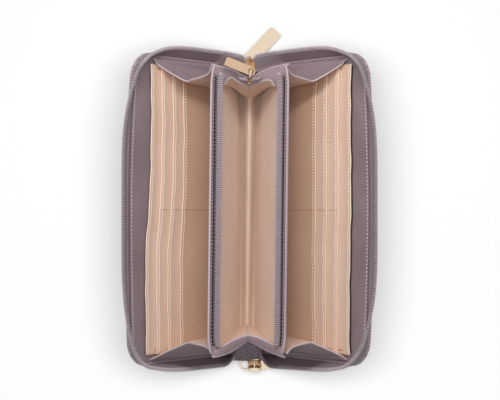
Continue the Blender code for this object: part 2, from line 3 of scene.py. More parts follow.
import bpy
import numpy as np
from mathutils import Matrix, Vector


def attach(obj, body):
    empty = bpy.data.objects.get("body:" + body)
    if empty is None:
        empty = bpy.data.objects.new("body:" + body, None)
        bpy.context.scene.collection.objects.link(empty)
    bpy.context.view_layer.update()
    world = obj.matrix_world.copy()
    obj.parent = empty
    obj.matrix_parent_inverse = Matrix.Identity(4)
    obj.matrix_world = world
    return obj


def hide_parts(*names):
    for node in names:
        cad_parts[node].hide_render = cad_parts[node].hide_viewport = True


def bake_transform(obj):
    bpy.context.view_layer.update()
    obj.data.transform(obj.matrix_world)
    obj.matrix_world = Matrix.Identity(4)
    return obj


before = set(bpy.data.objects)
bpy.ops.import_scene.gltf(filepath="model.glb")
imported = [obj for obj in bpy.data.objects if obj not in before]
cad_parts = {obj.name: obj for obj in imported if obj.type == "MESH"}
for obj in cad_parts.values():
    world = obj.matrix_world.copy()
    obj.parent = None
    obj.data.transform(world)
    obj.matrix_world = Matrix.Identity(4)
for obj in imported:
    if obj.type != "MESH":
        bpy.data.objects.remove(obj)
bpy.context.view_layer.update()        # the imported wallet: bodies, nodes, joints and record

mm = 0.001               # every size below is in millimetres
left, right = -1, 1
front, back = 1, -1      # front is toward the coin zip's slider, at the top of the picture
sideNames = {left: "left", right: "right"}
endNames = {front: "front", back: "back"}


# Small tools for making pieces

def deselectAll():
    if bpy.context.mode != "OBJECT":
        bpy.ops.object.mode_set(mode="OBJECT")
    bpy.ops.object.select_all(action="DESELECT")


def choose(*pieces):
    deselectAll()
    for piece in pieces:
        piece.select_set(True)
    bpy.context.view_layer.objects.active = pieces[0]


def applyModifier(piece, kind, **settings):
    choose(piece)
    modifier = piece.modifiers.new(kind.title(), kind)
    for name, value in settings.items():
        setattr(modifier, name, value)
    bpy.ops.object.modifier_apply(modifier=modifier.name)


def addShape(operator, name, **settings):
    # one of Blender's own objects
    deselectAll()
    operator(**settings)
    piece = bpy.context.object
    piece.name = name
    return piece


def smoothLine(points, steps):
    # a Catmull-Rom curve through the points
    points = [Vector(point) for point in points]
    full = [2 * points[0] - points[1], *points, 2 * points[-1] - points[-2]]
    line = []
    for a, b, c, d in zip(full, full[1:], full[2:], full[3:]):
        for k in range(steps):
            t = k / steps
            line.append((b * 2 + (c - a) * t + (a * 2 - b * 5 + c * 4 - d) * t * t
                         + (b * 3 - a - c * 3 + d) * t ** 3) / 2)
    return line + [points[-1]]


def evenly(line, ups, pitch):
    # stations every pitch along a line, each with its place, direction and up
    spans = [(two - one).length for one, two in zip(line, line[1:])]
    count = max(2, round(sum(spans) / pitch))
    stations, k, passed = [], 0, 0.0
    for i in range(count):
        goal = sum(spans) * (i + 0.5) / count
        while k < len(spans) - 1 and passed + spans[k] < goal:
            passed += spans[k]
            k += 1
        share = (goal - passed) / spans[k]
        run = (line[k + 1] - line[k]).normalized()
        stations.append((line[k].lerp(line[k + 1], share), run, ups[k].lerp(ups[k + 1], share)))
    return stations


def measured(line):
    # how far along a line each of its points is, from the middle
    lengths = [0.0]
    for one, two in zip(line, line[1:]):
        lengths.append(lengths[-1] + (two - one).length)
    return [length - lengths[-1] / 2 for length in lengths]


def makeSheet(name, columns, rows, spot, aim, thickness, rounding=0, even=True):
    # a grid whose points are laid where spot says, with a UV map in millimetres, and
    # with its thickness on the side that it faces and its edges rounded
    sheet = addShape(bpy.ops.mesh.primitive_grid_add, name, x_subdivisions=columns,
                     y_subdivisions=rows, size=2)
    mesh = sheet.data
    shares = [((vertex.co.x + 1) / 2, (vertex.co.y + 1) / 2) for vertex in mesh.vertices]
    for vertex, (across, up) in zip(mesh.vertices, shares):
        vertex.co = Vector(spot(across, up)) * mm
    ups = measured([Vector(spot(0.5, j / rows)) for j in range(rows + 1)])
    alongs = [measured([Vector(spot(i / columns, j / rows)) for i in range(columns + 1)])
              for j in range(rows + 1)]
    for loop in mesh.loops:
        across, up = shares[loop.vertex_index]
        i, j = round(across * columns), round(up * rows)
        mesh.uv_layers.active.data[loop.index].uv = (alongs[j][i], ups[j])
    mesh.update()
    total = Vector()
    for polygon in mesh.polygons:
        total += polygon.normal * polygon.area
    if total.dot(Vector(aim)) < 0:
        mesh.flip_normals()
    applyModifier(sheet, "SOLIDIFY", thickness=thickness * mm, offset=1, use_even_offset=even)
    if rounding:
        applyModifier(sheet, "BEVEL", width=rounding * mm, segments=2, limit_method="ANGLE",
                      angle_limit=math.radians(55))
    return sheet


def wire(name, points, radius, roundness=2):
    # a round wire or cord along a line
    deselectAll()
    curve = bpy.data.curves.new(name, "CURVE")
    curve.dimensions = "3D"
    spline = curve.splines.new("POLY")
    spline.points.add(len(points) - 1)
    for place, point in zip(spline.points, points):
        place.co = (*(Vector(point) * mm), 1)
    curve.bevel_depth = radius * mm
    curve.bevel_resolution = roundness
    curve.use_fill_caps = True
    piece = bpy.data.objects.new(name, curve)
    bpy.context.collection.objects.link(piece)
    choose(piece)
    bpy.ops.object.convert(target="MESH")
    return bpy.context.object


def dress(piece, finish, slotName, body=None, bend=None, stands=(), angle=40):
    # gives a finished piece its material and its body, or bakes it in place when a bend is given, and
    # hides the parts that it stands for
    choose(piece)
    bpy.ops.object.shade_smooth_by_angle(angle=math.radians(angle))
    piece.data.materials.clear()
    piece.data.materials.append(finish)
    if bend:
        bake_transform(piece)
    else:
        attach(piece, body)
    if stands:
        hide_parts(*stands)


stitches = {
    "edge": {"pitch": 2.3, "length": 1.5, "thickness": 0.85},
    "panel": {"pitch": 2.0, "length": 1.3, "thickness": 0.8},
    "seam": {"pitch": 1.9, "length": 1.3, "thickness": 0.6},
    "tack": {"pitch": 0.75, "length": 1.6, "thickness": 0.5},
    "divider": {"pitch": 2.2, "length": 1.4, "thickness": 0.8},
    "coinTape": {"pitch": 2.3, "length": 1.4, "thickness": 0.5},
}


def sew(name, kind, paths, up, finish, slotName, body):
    # stitches along some paths, as one piece, which sink halfway into what they sew
    style = stitches[kind]
    seed = addShape(bpy.ops.mesh.primitive_uv_sphere_add, "stitchSeed", segments=8, ring_count=5)
    for vertex in seed.data.vertices:
        vertex.co.x *= style["length"] / 2
        vertex.co.y *= style["thickness"] / 2
        vertex.co.z *= style["thickness"] / 2
    base = np.array([vertex.co for vertex in seed.data.vertices])
    faces = [tuple(polygon.vertices) for polygon in seed.data.polygons]
    bpy.data.objects.remove(seed)
    corners, polygons = [], []
    for path in paths:
        for place, run, top in evenly(path, [up] * len(path), style["pitch"]):
            if kind == "tack":     # tacks lie across their row
                run = top.cross(run)
            across = top.cross(run).normalized()
            turned = np.array([run, across, run.cross(across)])
            start = len(corners)
            corners.extend(map(tuple, (base @ turned + np.array(place)) * mm))
            polygons.extend(tuple(i + start for i in face) for face in faces)
    mesh = bpy.data.meshes.new(name)
    mesh.from_pydata(corners, [], polygons)
    mesh.update()
    piece = bpy.data.objects.new(name, mesh)
    bpy.context.collection.objects.link(piece)
    dress(piece, finish, slotName, body)


# Materials

def tint(red, green, blue):
    # a colour as the eye sees it, from 0 to 255, made linear
    shares = [value / 255 for value in (red, green, blue)]
    linear = [s / 12.92 if s <= 0.04045 else ((s + 0.055) / 1.055) ** 2.4 for s in shares]
    return (*linear, 1)


class Link:
    # a node's output, which can be used in sums
    def __init__(self, tree, socket):
        self.tree = tree
        self.socket = socket

    def combine(self, operation, first, second):
        return self.tree.add("ShaderNodeMath", {"operation": operation}, {0: first, 1: second})

    def __add__(self, other):
        return self.combine("ADD", self, other)

    def __radd__(self, other):
        return self.combine("ADD", other, self)

    def __sub__(self, other):
        return self.combine("SUBTRACT", self, other)

    def __rsub__(self, other):
        return self.combine("SUBTRACT", other, self)

    def __mul__(self, other):
        return self.combine("MULTIPLY", self, other)

    def __rmul__(self, other):
        return self.combine("MULTIPLY", other, self)


class Tree:
    # a node tree that nodes are added to
    def __init__(self, owner):
        owner.use_nodes = True
        self.nodes = owner.node_tree.nodes
        self.links = owner.node_tree.links
        self.nodes.clear()

    def add(self, kind, settings=None, inputs=None, output=0):
        node = self.nodes.new(kind)
        for name, value in (settings or {}).items():
            setattr(node, name, value)
        for key, value in (inputs or {}).items():
            if isinstance(value, Link):
                self.links.new(value.socket, node.inputs[key])
            else:
                node.inputs[key].default_value = value
        return Link(self, node.outputs[output]) if node.outputs else node

    def mix(self, factor, first, second):
        return self.add("ShaderNodeMix", {"data_type": "RGBA"}, {0: factor, 6: first, 7: second}, 2)

    def sine(self, value):
        return self.add("ShaderNodeMath", {"operation": "SINE"}, {0: value})

    def noise(self, place, scale, detail=2):
        return self.add("ShaderNodeTexNoise", None,
                        {"Vector": place, "Scale": scale, "Detail": detail})

    def bump(self, height, strength, distance):
        return self.add("ShaderNodeBump", None,
                        {"Strength": strength, "Distance": distance, "Height": height})

    def mapPlace(self):
        # the piece's own UV map, in millimetres, and its two parts
        place = self.add("ShaderNodeUVMap")
        parts = [self.add("ShaderNodeSeparateXYZ", None, {0: place}, k) for k in range(2)]
        return place, *parts


def newMaterial(name):
    material = bpy.data.materials.new(name)
    return material, Tree(material)


def finishMaterial(tree, constants, links):
    shader = tree.add("ShaderNodeBsdfPrincipled", None, {**constants, **links})
    tree.add("ShaderNodeOutputMaterial", None, {0: shader})


def makeLeather(name, colour, dark, light, pitch, depth, stretch=1.0):
    # leather pressed with a fine diagonal cross-hatch
    material, tree = newMaterial(name)
    place, along, up = tree.mapPlace()
    turn = 2 * math.pi / pitch
    rise = tree.sine((along + up * stretch) * turn)
    fall = tree.sine((along - up * stretch) * turn)
    hatch = (rise + fall) * 0.3 + 0.5
    pores = tree.noise(place, 1.6, 3)
    clouds = tree.noise(place, 0.035)
    tone = hatch * 0.7 + pores * 0.7 + clouds * 0.4 - 0.4
    shaded = tree.mix(tone, tint(*dark), tint(*light))
    skin = tree.mix(0.85, tint(*colour), shaded)
    bump = tree.bump(hatch * 0.6 + pores * 0.5, 0.55, depth * mm)
    finishMaterial(tree, {"Metallic": 0.0},
                   {"Base Color": skin, "Roughness": 0.5 + pores * 0.2, "Normal": bump})
    return material


def makeTwill(name, colour, dark, light):
    # lining cloth with fine diagonal ribs
    material, tree = newMaterial(name)
    place, along, up = tree.mapPlace()
    ribPitch, threadPitch = 2.0, 1.3
    wander = tree.noise(place, 0.5)
    rib = tree.sine((along * 0.8 + up * 1.3 + wander * 0.9) * (2 * math.pi / ribPitch))
    thread = tree.sine((along * 1.3 - up * 0.8) * (2 * math.pi / threadPitch))
    slub = tree.noise(place, 0.9, 3)
    clouds = tree.noise(place, 0.03)
    tone = rib * 0.22 + thread * 0.1 + slub * 0.9 + clouds * 0.5 - 0.2
    cloth = tree.mix(0.75, tint(*colour), tree.mix(tone, tint(*dark), tint(*light)))
    bump = tree.bump(rib * 0.4 + thread * 0.2 + slub, 0.5, 0.16 * mm)
    finishMaterial(tree, {"Sheen Weight": 0.15, "Sheen Roughness": 0.4},
                   {"Base Color": cloth, "Roughness": 0.62 + slub * 0.16, "Normal": bump})
    return material


def makeTape(name, colour, dark, grain=1.4, contrast=1.6):
    # woven zip tape with fine ribs across it
    material, tree = newMaterial(name)
    place, along, up = tree.mapPlace()
    warpPitch, weftPitch = 0.8, 0.7
    rib = tree.sine(along * (2 * math.pi / warpPitch)) * tree.sine(up * (2 * math.pi / weftPitch))
    slub = tree.noise(place, grain, 3)
    tone = rib * 0.3 + slub * contrast + (0.5 - contrast / 2)
    cloth = tree.mix(tone, tint(*dark), tint(*colour))
    bump = tree.bump(rib + slub, 0.6, 0.2 * mm)
    finishMaterial(tree, {"Sheen Weight": 0.1},
                   {"Base Color": cloth, "Roughness": 0.7 + slub * 0.15, "Normal": bump})
    return material


def makeThread(name, colour, dark, roughness):
    # thread and nylon, with a slight unevenness along it
    material, tree = newMaterial(name)
    place = tree.add("ShaderNodeTexCoord", None, None, 3)
    uneven = tree.noise(place, 900)
    cloth = tree.mix(uneven, tint(*dark), tint(*colour))
    bump = tree.bump(uneven, 0.3, 0.08 * mm)
    finishMaterial(tree, {}, {"Base Color": cloth, "Roughness": roughness + uneven * 0.15,
                              "Normal": bump})
    return material


def makeMetal(name, colour, dark, edge, roughness):
    # plated metal with faint brushing, and a painted dark reflection mixed in where it turns away from
    # the view
    material, tree = newMaterial(name)
    place = tree.add("ShaderNodeTexCoord", None, None, 3)
    stretched = tree.add("ShaderNodeMapping", None, {0: place, 3: (260, 1900, 900)})
    brushed = tree.noise(stretched, 1)
    marks = tree.noise(place, 420, 3)
    metal = tree.mix(marks * 0.5 + brushed * 0.4, tint(*dark), tint(*colour))
    # the edge colour is painted reflection: it grows where the surface turns from the view
    paintedRimShade = tree.add("ShaderNodeLayerWeight", None, {"Blend": 0.4}, 1)
    metal = tree.mix(paintedRimShade, metal, tint(*edge))
    bump = tree.bump(brushed, 0.06, 0.05 * mm)
    finishMaterial(tree, {"Metallic": 1.0}, {"Base Color": metal, "Normal": bump,
                                             "Roughness": roughness + marks * 0.06})
    return material


print("materials")
leather = makeLeather("taupeLeather", (152, 131, 135), (106, 88, 92), (198, 178, 183), 1.75, 0.2)
facingLeather = makeLeather("facingLeather", (119, 99, 103), (58, 43, 47), (179, 160, 165), 1.75,
                            0.2, 0.64)
gussetLeather = makeLeather("gussetLeather", (140, 119, 123), (116, 97, 101), (164, 143, 148), 2.2,
                            0.15)
# a lighter copy of the leather for folded hems: painted highlight where the fold catches light
leatherHemPaintedHighlight = makeLeather("leatherHemPaintedHighlight", (178, 162, 167), (148, 132, 137), (204, 190, 195), 2.2, 0.12)
lining = makeTwill("blushLining", (233, 200, 179), (204, 165, 140), (250, 224, 206))
# a darker, warmer copy of the lining: painted shade for the innermost card panel
paintedShadePocketLining = makeTwill("paintedShadePocketLining", (231, 190, 161), (200, 154, 122), (247, 213, 186))
# a lighter copy of the lining for the card panels' folded hems: painted highlight
liningHemPaintedHighlight = makeTwill("liningHemPaintedHighlight", (250, 222, 202), (234, 202, 180), (255, 240, 226))
# a paler copy of the lining for the coin compartment: painted light for its deep walls and floor
paintedLightCoinLining = makeTwill("paintedLightCoinLining", (236, 212, 196), (212, 182, 163), (250, 232, 218))
tape = makeTape("zipTape", (156, 140, 146), (98, 82, 88))
# dark tape whose colour is painted shade, for the coin tape's gap and the right pocket's mouth
paintedShadeTape = makeTape("paintedShadeTape", (80, 64, 70), (44, 30, 35))
# the closed end's tape: speckles for the chain's beads, and near-black painted shade between them
paintedShadeEndTape = makeTape("zipEndTapePaintedShade", (150, 122, 140), (22, 12, 20), 0.7, 4.2)
# a near-black core colour: painted shade that shows between the coil's turns
coilPaintedShade = makeThread("coilPaintedShade", (52, 40, 44), (26, 16, 20), 0.6)
nylon = makeThread("zipNylon", (211, 199, 204), (173, 159, 165), 0.42)
coinNylon = makeThread("coinNylon", (190, 174, 181), (158, 142, 149), 0.45)
leatherThread = makeThread("leatherThread", (218, 205, 209), (188, 172, 177), 0.55)
liningThread = makeThread("liningThread", (255, 245, 232), (240, 220, 202), 0.55)
tackThread = makeThread("tackThread", (190, 152, 120), (150, 112, 84), 0.6)
gold = makeMetal("paleGold", (242, 226, 206), (228, 204, 176), (190, 146, 102), 0.06)
roseGold = makeMetal("roseGold", (226, 197, 172), (208, 172, 143), (150, 104, 66), 0.07)
# gold darkened all over: painted dark reflection of the wallet around the sliders
paintedReflectionGold = makeMetal("paintedReflectionGold", (206, 166, 128), (164, 122, 84), (110, 72, 40), 0.1)


# The leaves: covers and dividers lean outward from hinge lines along the spine

cover = {
    "lean": 40, "hingeAcross": 14, "hingeUp": 1, "length": 192, "height": 96,
    "corner": 16, "foot": 1.2, "thickness": 2.0, "rounding": 0.8, "cells": (56, 34),
    "bowReach": 78,
    "bow": {(left, front): 4.0, (left, back): 1.4, (right, front): 2.8, (right, back): 2.8},
}
divider = {
    "lean": 13.5, "hingeAcross": 4, "hingeUp": 3.2, "length": 175, "height": 82,
    "corner": 4, "cornerShare": 0.12, "foot": 0.5, "thickness": 1.6, "rounding": 0.6,
    "cells": (60, 30), "drift": -0.75, "driftRise": 0.012, "curlStart": 74, "curl": 1.6,
    "hem": 0.62, "hemInset": 0.1, "hemStart": 66, "stitchInset": 2.6, "stitchReach": 84,
}


def leafSpot(leaf, side, rise, along, depth):
    angle = math.radians(leaf["lean"])
    across = leaf["hingeAcross"] + rise * math.sin(angle) - depth * math.cos(angle)
    return Vector((side * across, along, leaf["hingeUp"] + rise * math.cos(angle)
                   + depth * math.sin(angle)))


def inwardOf(leaf, side):
    return leafSpot(leaf, side, 0, 0, 1) - leafSpot(leaf, side, 0, 0, 0)


def coverSpot(side, rise, along, depth):
    # the cover's free edge stands out in the middle and bows inward at its corners
    end = front if along > 0 else back
    bow = cover["bow"][side, end] * (along / cover["bowReach"]) ** 2
    bow *= (max(rise, 0) / cover["height"]) ** 1.5
    return leafSpot(cover, side, rise, along, depth + bow)


def dividerSpot(side, rise, along, depth):
    # both dividers drift to the left toward the back, and their ends curl inward
    spot = leafSpot(divider, side, rise, along, depth)
    spot.x += divider["drift"] + divider["driftRise"] * along
    past = max(0, abs(along) - divider["curlStart"])
    past /= divider["length"] / 2 - divider["curlStart"]
    spot.x -= side * divider["curl"] * past ** 2 * (max(rise, 0) / divider["height"]) ** 2
    return spot


def leafShare(leaf, up, inset=0, foot=None):
    # the rise at a share of the way up, and half of the leaf's length there
    foot = leaf["foot"] if foot is None else foot
    cornerShare = leaf.get("cornerShare", 0.35)
    radius = leaf["corner"] - inset
    straight = leaf["height"] - inset - radius
    half = leaf["length"] / 2 - inset
    if up < 1 - cornerShare:
        return foot + (straight - foot) * up / (1 - cornerShare), half
    angle = math.pi / 2 * (up - 1 + cornerShare) / cornerShare
    return straight + radius * math.sin(angle), half - radius + radius * math.cos(angle)


def edgePath(leaf, inset, start, step):
    # places round a leaf's edge: up the front, along the top and down the back
    radius = leaf["corner"] - inset
    top, half = leaf["height"] - inset, leaf["length"] / 2 - inset
    quarter = []
    count = max(1, round((top - radius - start) / step))
    for k in range(count):
        quarter.append((start + (top - radius - start) * k / count, half))
    count = max(2, round(radius * math.pi / 2 / step))
    for k in range(count + 1):
        angle = math.pi / 2 * k / count
        quarter.append((top - radius + radius * math.sin(angle),
                        half - radius + radius * math.cos(angle)))
    count = round((half - radius) / step)
    middle = [(top, (half - radius) * (1 - k / count)) for k in range(1, count)]
    return (quarter + middle + [(top, 0.0)] + [(rise, -along) for rise, along in middle[::-1]]
            + [(rise, -along) for rise, along in quarter[::-1]])


# Covers, their facings and their card panels

facing = {
    "inset": 1.7, "foot": 3, "depth": 2.3, "thickness": 0.8, "rounding": 0.3,
    "stitchInset": 2.7, "outerInset": 3.2, "outerSink": 0.05, "stitchStart": 14, "stitchStep": 1.5,
    "stretchFrom": 84, "stretchOver": 7, "stretch": 0.0125,
}
panels = {
    "length": 178, "foot": 4, "height": 79, "step": 9.5, "count": 4, "thickness": 0.55,
    "rounding": 0.24, "cells": (72, 26), "depth": 3.4, "layer": 0.8, "lift": (1.5, 0.4, 0.5, 0.6),
    "liftReach": 9, "swell": 0.2, "swellLength": 190, "turnPlace": -8, "turnLength": 9,
    "frontRise": {left: (-0.1, -0.6, -0.6, 0.0), right: (2.1, 0.2, 0.0, 0.2)},
    "backRise": {left: (4.6, 4.2, 4.6, 3.6), right: (1.3, -0.4, -0.8, -0.4)},
    "endRise": {(left, front): 3.6, (left, back): 0.3, (right, front): 3.0, (right, back): 2.2},
    "endReach": 86, "waves": ((0.22, 31, 0.6), (0.13, 17, 2.1)),
    "hem": 0.32, "hemInset": 0.3, "hemDrop": 0.25, "stitchInset": 1.2, "stitchDrop": 2.5,
    "seamPlace": -0.4, "seamFoot": 12, "seamLow": 1.2, "seamDrop": 0.6,
    "tackInset": 2.4, "tackDrop": 3.4, "tackReach": 5.2,
}
backing = {"inset": 1, "mouth": 0.3, "rise": 0.05, "thickness": 0.15, "cells": (56, 20)}


def makeCover(side):
    name = sideNames[side]
    body = f"{name}_cover"
    inward = inwardOf(cover, side)

    def boardSpot(across, up):
        rise, half = leafShare(cover, up)
        return coverSpot(side, rise, (2 * across - 1) * half, 0)

    def facingSpot(across, up):
        rise, half = leafShare(cover, up, facing["inset"], facing["foot"])
        return coverSpot(side, rise, (2 * across - 1) * half, facing["depth"])

    board = makeSheet(f"{name}CoverBoard", *cover["cells"], boardSpot, inward, cover["thickness"],
                      cover["rounding"])
    dress(board, leather, "taupe_leather", body, stands=[f"{name}_cover"])
    skin = makeSheet(f"{name}Facing", *cover["cells"], facingSpot, inward, facing["thickness"],
                     facing["rounding"])
    dress(skin, facingLeather, "taupe_leather", body, stands=[f"{name}_facing"])
    inner = facing["depth"] + facing["thickness"]
    for word, depth, inset in (("Inner", inner, facing["stitchInset"]),
                               ("Outer", -facing["outerSink"], facing["outerInset"])):
        path = []
        for rise, along in edgePath(cover, inset, facing["stitchStart"], facing["stitchStep"]):
            nearEnd = min(1, max(0, (abs(along) - facing["stretchFrom"]) / facing["stretchOver"]))
            path.append(coverSpot(side, rise, along * (1 + facing["stretch"] * nearEnd), depth))
        sew(f"{name}{word}EdgeStitches", "edge", [path], inward, leatherThread, "taupe_leather",
            body)


def panelEdge(side, k, along):
    # how far a card panel reaches up the cover at a place along it
    turn = 1 / (1 + math.exp((along - panels["turnPlace"]) / panels["turnLength"]))
    rise = panels["height"] - k * panels["step"]
    rise += panels["frontRise"][side][k] * (1 - turn) + panels["backRise"][side][k] * turn
    end = front if along > 0 else back
    rise += panels["endRise"][side, end] * (abs(along) / panels["endReach"]) ** 4
    for size, length, start in panels["waves"]:
        rise += size * math.sin(along / length * 2 * math.pi + start * (k + 1) + side)
    return rise


def panelSpot(side, k, rise, along, extra=0.0):
    edge = panelEdge(side, k, along)
    near = max(0, 1 - (edge - rise) / panels["liftReach"])
    swell = math.sin(math.pi * min(1, rise / edge)) * math.cos(math.pi * along / panels["swellLength"])
    depth = panels["depth"] + k * panels["layer"] + panels["lift"][k] * near ** 2
    return coverSpot(side, rise, along, depth + extra + panels["swell"] * swell)


def edgeLine(side, k, inset, drop, extra):
    # a line along a card panel's upper edge
    reach = panels["length"] / 2 - inset
    line = []
    for i in range(90):
        along = reach - 2 * reach * i / 89
        line.append(panelSpot(side, k, panelEdge(side, k, along) - drop, along, extra))
    return line


def makePanels(side):
    name = sideNames[side]
    body = f"{name}_cover"
    inward = inwardOf(cover, side)
    half, thickness = panels["length"] / 2, panels["thickness"]

    def backingSpot(across, up):
        along = (2 * across - 1) * (half - backing["inset"])
        edge = panelEdge(side, 0, along) - backing["mouth"]
        rise = panels["foot"] + (edge - panels["foot"]) * up
        return coverSpot(side, rise, along, facing["depth"] + facing["thickness"] + backing["rise"])

    # the first pocket's dark backing, painted shade, shows as a line along the right panel's edge; on
    # the left the backing is facing leather
    cloth = makeSheet(f"{name}PocketBacking", *backing["cells"], backingSpot, inward,
                      backing["thickness"])
    dress(cloth, paintedShadeTape if side == right else facingLeather, "taupe_leather", body)
    hemmed, tacked, seamed = [], [], []
    for k in range(panels["count"]):
        def spot(across, up):
            along = (2 * across - 1) * half
            edge = panelEdge(side, k, along)
            return panelSpot(side, k, panels["foot"] + (edge - panels["foot"]) * up, along)

        height = panels["height"] - k * panels["step"]
        last = k == panels["count"] - 1
        panel = makeSheet(f"{name}CardPanel{k + 1}", *panels["cells"], spot, inward, thickness,
                          panels["rounding"])
        # the innermost panel takes the lining copy with painted shade
        dress(panel, paintedShadePocketLining if last else lining, "blush_lining", body,
              stands=[f"{name}_card_panel_{k + 1}"])
        (height - panels["foot"]) * mm
        hemmed.append(edgeLine(side, k, panels["stitchInset"], panels["stitchDrop"], thickness))
        line = edgeLine(side, k, panels["hemInset"], panels["hemDrop"], thickness / 2)
        # the hem's lighter colour is painted highlight
        dress(wire(f"{name}CardPanelHem{k + 1}", line, panels["hem"]), liningHemPaintedHighlight, "blush_lining",
              body)
        for end in (front, back):
            rises = [height - panels["tackDrop"] - panels["tackReach"] * i / 5 for i in range(6)]
            tacked.append([panelSpot(side, k, rise, end * (half - panels["tackInset"]), thickness)
                           for rise in rises])
        if k > 0:                  # the seam between two slots of the row
            low = panels["seamLow"] + (panels["seamFoot"] if last else height - panels["step"])
            high = panelEdge(side, k, 0) - panels["seamDrop"]
            seamed.append([panelSpot(side, k, low + (high - low) * i / 8, panels["seamPlace"],
                                     thickness) for i in range(9)])
    sew(f"{name}PanelStitches", "panel", hemmed, inward, liningThread, "blush_lining", body)
    sew(f"{name}PanelSeam", "seam", seamed, inward, tackThread, "blush_lining", body)
    sew(f"{name}PanelTacks", "tack", tacked, inward, tackThread, "blush_lining", body)


print("covers and card panels")
for side in (left, right):
    makeCover(side)
    makePanels(side)


# Main zip: a tape that stands round each cover's edge, with a nylon coil along it

zipper = {
    "reach": 8.0, "inset": 0.7, "depth": 2.3, "start": 16, "step": 2.6, "thickness": 0.7,
    "rounding": 0.2, "bulge": 0.5, "pitch": 1.16, "wire": 0.31, "coilWide": 1.35, "coilHigh": 0.9,
    "lift": 0.4, "core": 0.75, "strip": 1.15, "stripMiddle": 0.3, "stripEnd": 0.8, "stripFrom": 50,
    "stripOver": 38, "stripTurn": 34,     # the first station past the corner
    "shortFlare": {front: 45, back: 36}, "longFlare": 71,
    "spineDrop": {(left, front): 0, (right, front): 0, (left, back): -3, (right, back): -14},
    "shortEdge": {(left, front): -1, (right, front): 1, (left, back): 10, (right, back): 3},
    "longEdge": {(left, front): 8, (right, front): 12, (left, back): 30, (right, back): 9},
    "cornerDip": {(left, front): 22, (right, front): 16, (left, back): 8, (right, back): 22},
}
zipEnds = {
    (left, front): [(-13, 100.2, 16.5), (-8.5, 99.6, 13), (-5, 98.9, 10.5), (-2.9, 97, 8.6)],
    (right, front): [(13, 100.4, 16), (8.3, 99.9, 13), (5, 99.3, 10.5), (2.9, 97.5, 8.6)],
    (left, back): [(-14.4, -99.4, 18.2), (-11.4, -96.6, 17.6), (-9.4, -93.2, 18.4),
                   (-6.5, -91.0, 21)],
    (right, back): [(13.6, -101.0, 18), (10.4, -99.0, 17.2), (8.2, -95.5, 17.4), (6.2, -90.6, 20)],
}
zipFeet = {"across": 3.4, "along": 95.3, "draw": 0.5, "up": 2.8, "frontDraw": 5.5, "frontUp": 8,
           "bulge": 0.4, "strip": 1.2}


def flareAt(side, rise, along):
    # how far the tape leans out from standing square on the cover
    end = front if along > 0 else back
    low, high = zipper["shortEdge"][side, end], zipper["longEdge"][side, end]
    straight = cover["height"] - cover["corner"]
    corner = cover["length"] / 2 - cover["corner"]
    if rise <= straight:
        share = max(0, (rise - zipper["start"]) / (straight - zipper["start"]))
        free = zipper["shortFlare"][end] - zipper["spineDrop"][side, end] * (1 - share) ** 3
        return low + (free - low) * math.cos(math.pi / 2 * share ** 2.5)
    if abs(along) > corner:
        share = math.atan2(rise - straight, abs(along) - corner) / (math.pi / 2)
        dip = zipper["cornerDip"][side, end] * math.sin(math.pi * share)
        return low + (high - low) * share - dip
    share = abs(along) / corner
    return high + (zipper["longFlare"] - high) * math.cos(math.pi / 2 * share ** 2.2)


def zipStation(side, rise, along, up, out):
    # the foot of the tape on the cover, and the middle of the coil above it
    angle = math.radians(flareAt(side, rise, along))
    riseIn, alongIn = rise - up * zipper["inset"], along - out * zipper["inset"]
    foot = coverSpot(side, riseIn, alongIn, zipper["depth"])
    lean = zipper["reach"] * math.sin(angle)
    depth = zipper["depth"] + zipper["lift"] * abs(math.sin(angle)) + zipper["reach"] * math.cos(angle)
    coil = leafSpot(cover, side, riseIn + up * lean, alongIn + out * lean, depth)
    level = math.dist(coil[:2], foot[:2])
    coil.z = foot.z + math.sqrt(max(zipper["reach"] ** 2 - level ** 2, 1))
    return foot, coil


def zipStations(side):
    stations = []
    straight = cover["height"] - cover["corner"]
    corner = cover["length"] / 2 - cover["corner"]
    for rise, along in edgePath(cover, 0, zipper["start"], zipper["step"]):
        up = max(0, rise - straight) / cover["corner"]
        out = max(0, abs(along) - corner) / cover["corner"]
        size = math.hypot(up, out)
        stations.append(zipStation(side, rise, along, up / size, math.copysign(out / size, along)))
    return stations


def makeCoil(name, line, ups, wide, high, finish, **home):
    # a flattened coil round a line, whose turns cross it squarely on the upper side
    shifts = (0, 0, 0, 0, 0, 2, 4, 6)      # a turn moves along only in its last three steps
    count = len(shifts)
    turns = evenly(line, ups, zipper["pitch"] / count)
    tilt = sum(run.cross(up).normalized().z for place, run, up in turns)
    points = []
    for k in range(len(turns)):
        place, run, up = turns[min(k - k % count + shifts[k % count], len(turns) - 1)]
        angle = 2 * math.pi * k / count
        across = run.cross(up).normalized() * math.copysign(high, tilt)
        points.append(place + up.normalized() * wide * math.cos(angle) + across * math.sin(angle))
    dress(wire(name, points, zipper["wire"], 1), finish, "zip_textile", **home)


def ribbon(name, feet, tops, thickness, bulge, share=1.0):
    # a tape between two lines that have as many points each
    last = len(feet) - 1

    def spot(across, up):
        i = round(across * last)
        middle = feet[i].lerp(tops[i], up * share)
        run = tops[min(i + 1, last)] - tops[max(i - 1, 0)]
        out = (tops[i] - feet[i]).cross(run).normalized()
        return middle + out * (bulge * math.sin(math.pi * up) - thickness / 2)

    half = len(tops) // 2
    aim = (tops[half] - feet[half]).cross(tops[half + 1] - tops[half])
    return makeSheet(name, last, 6, spot, aim, thickness, zipper["rounding"], even=False)


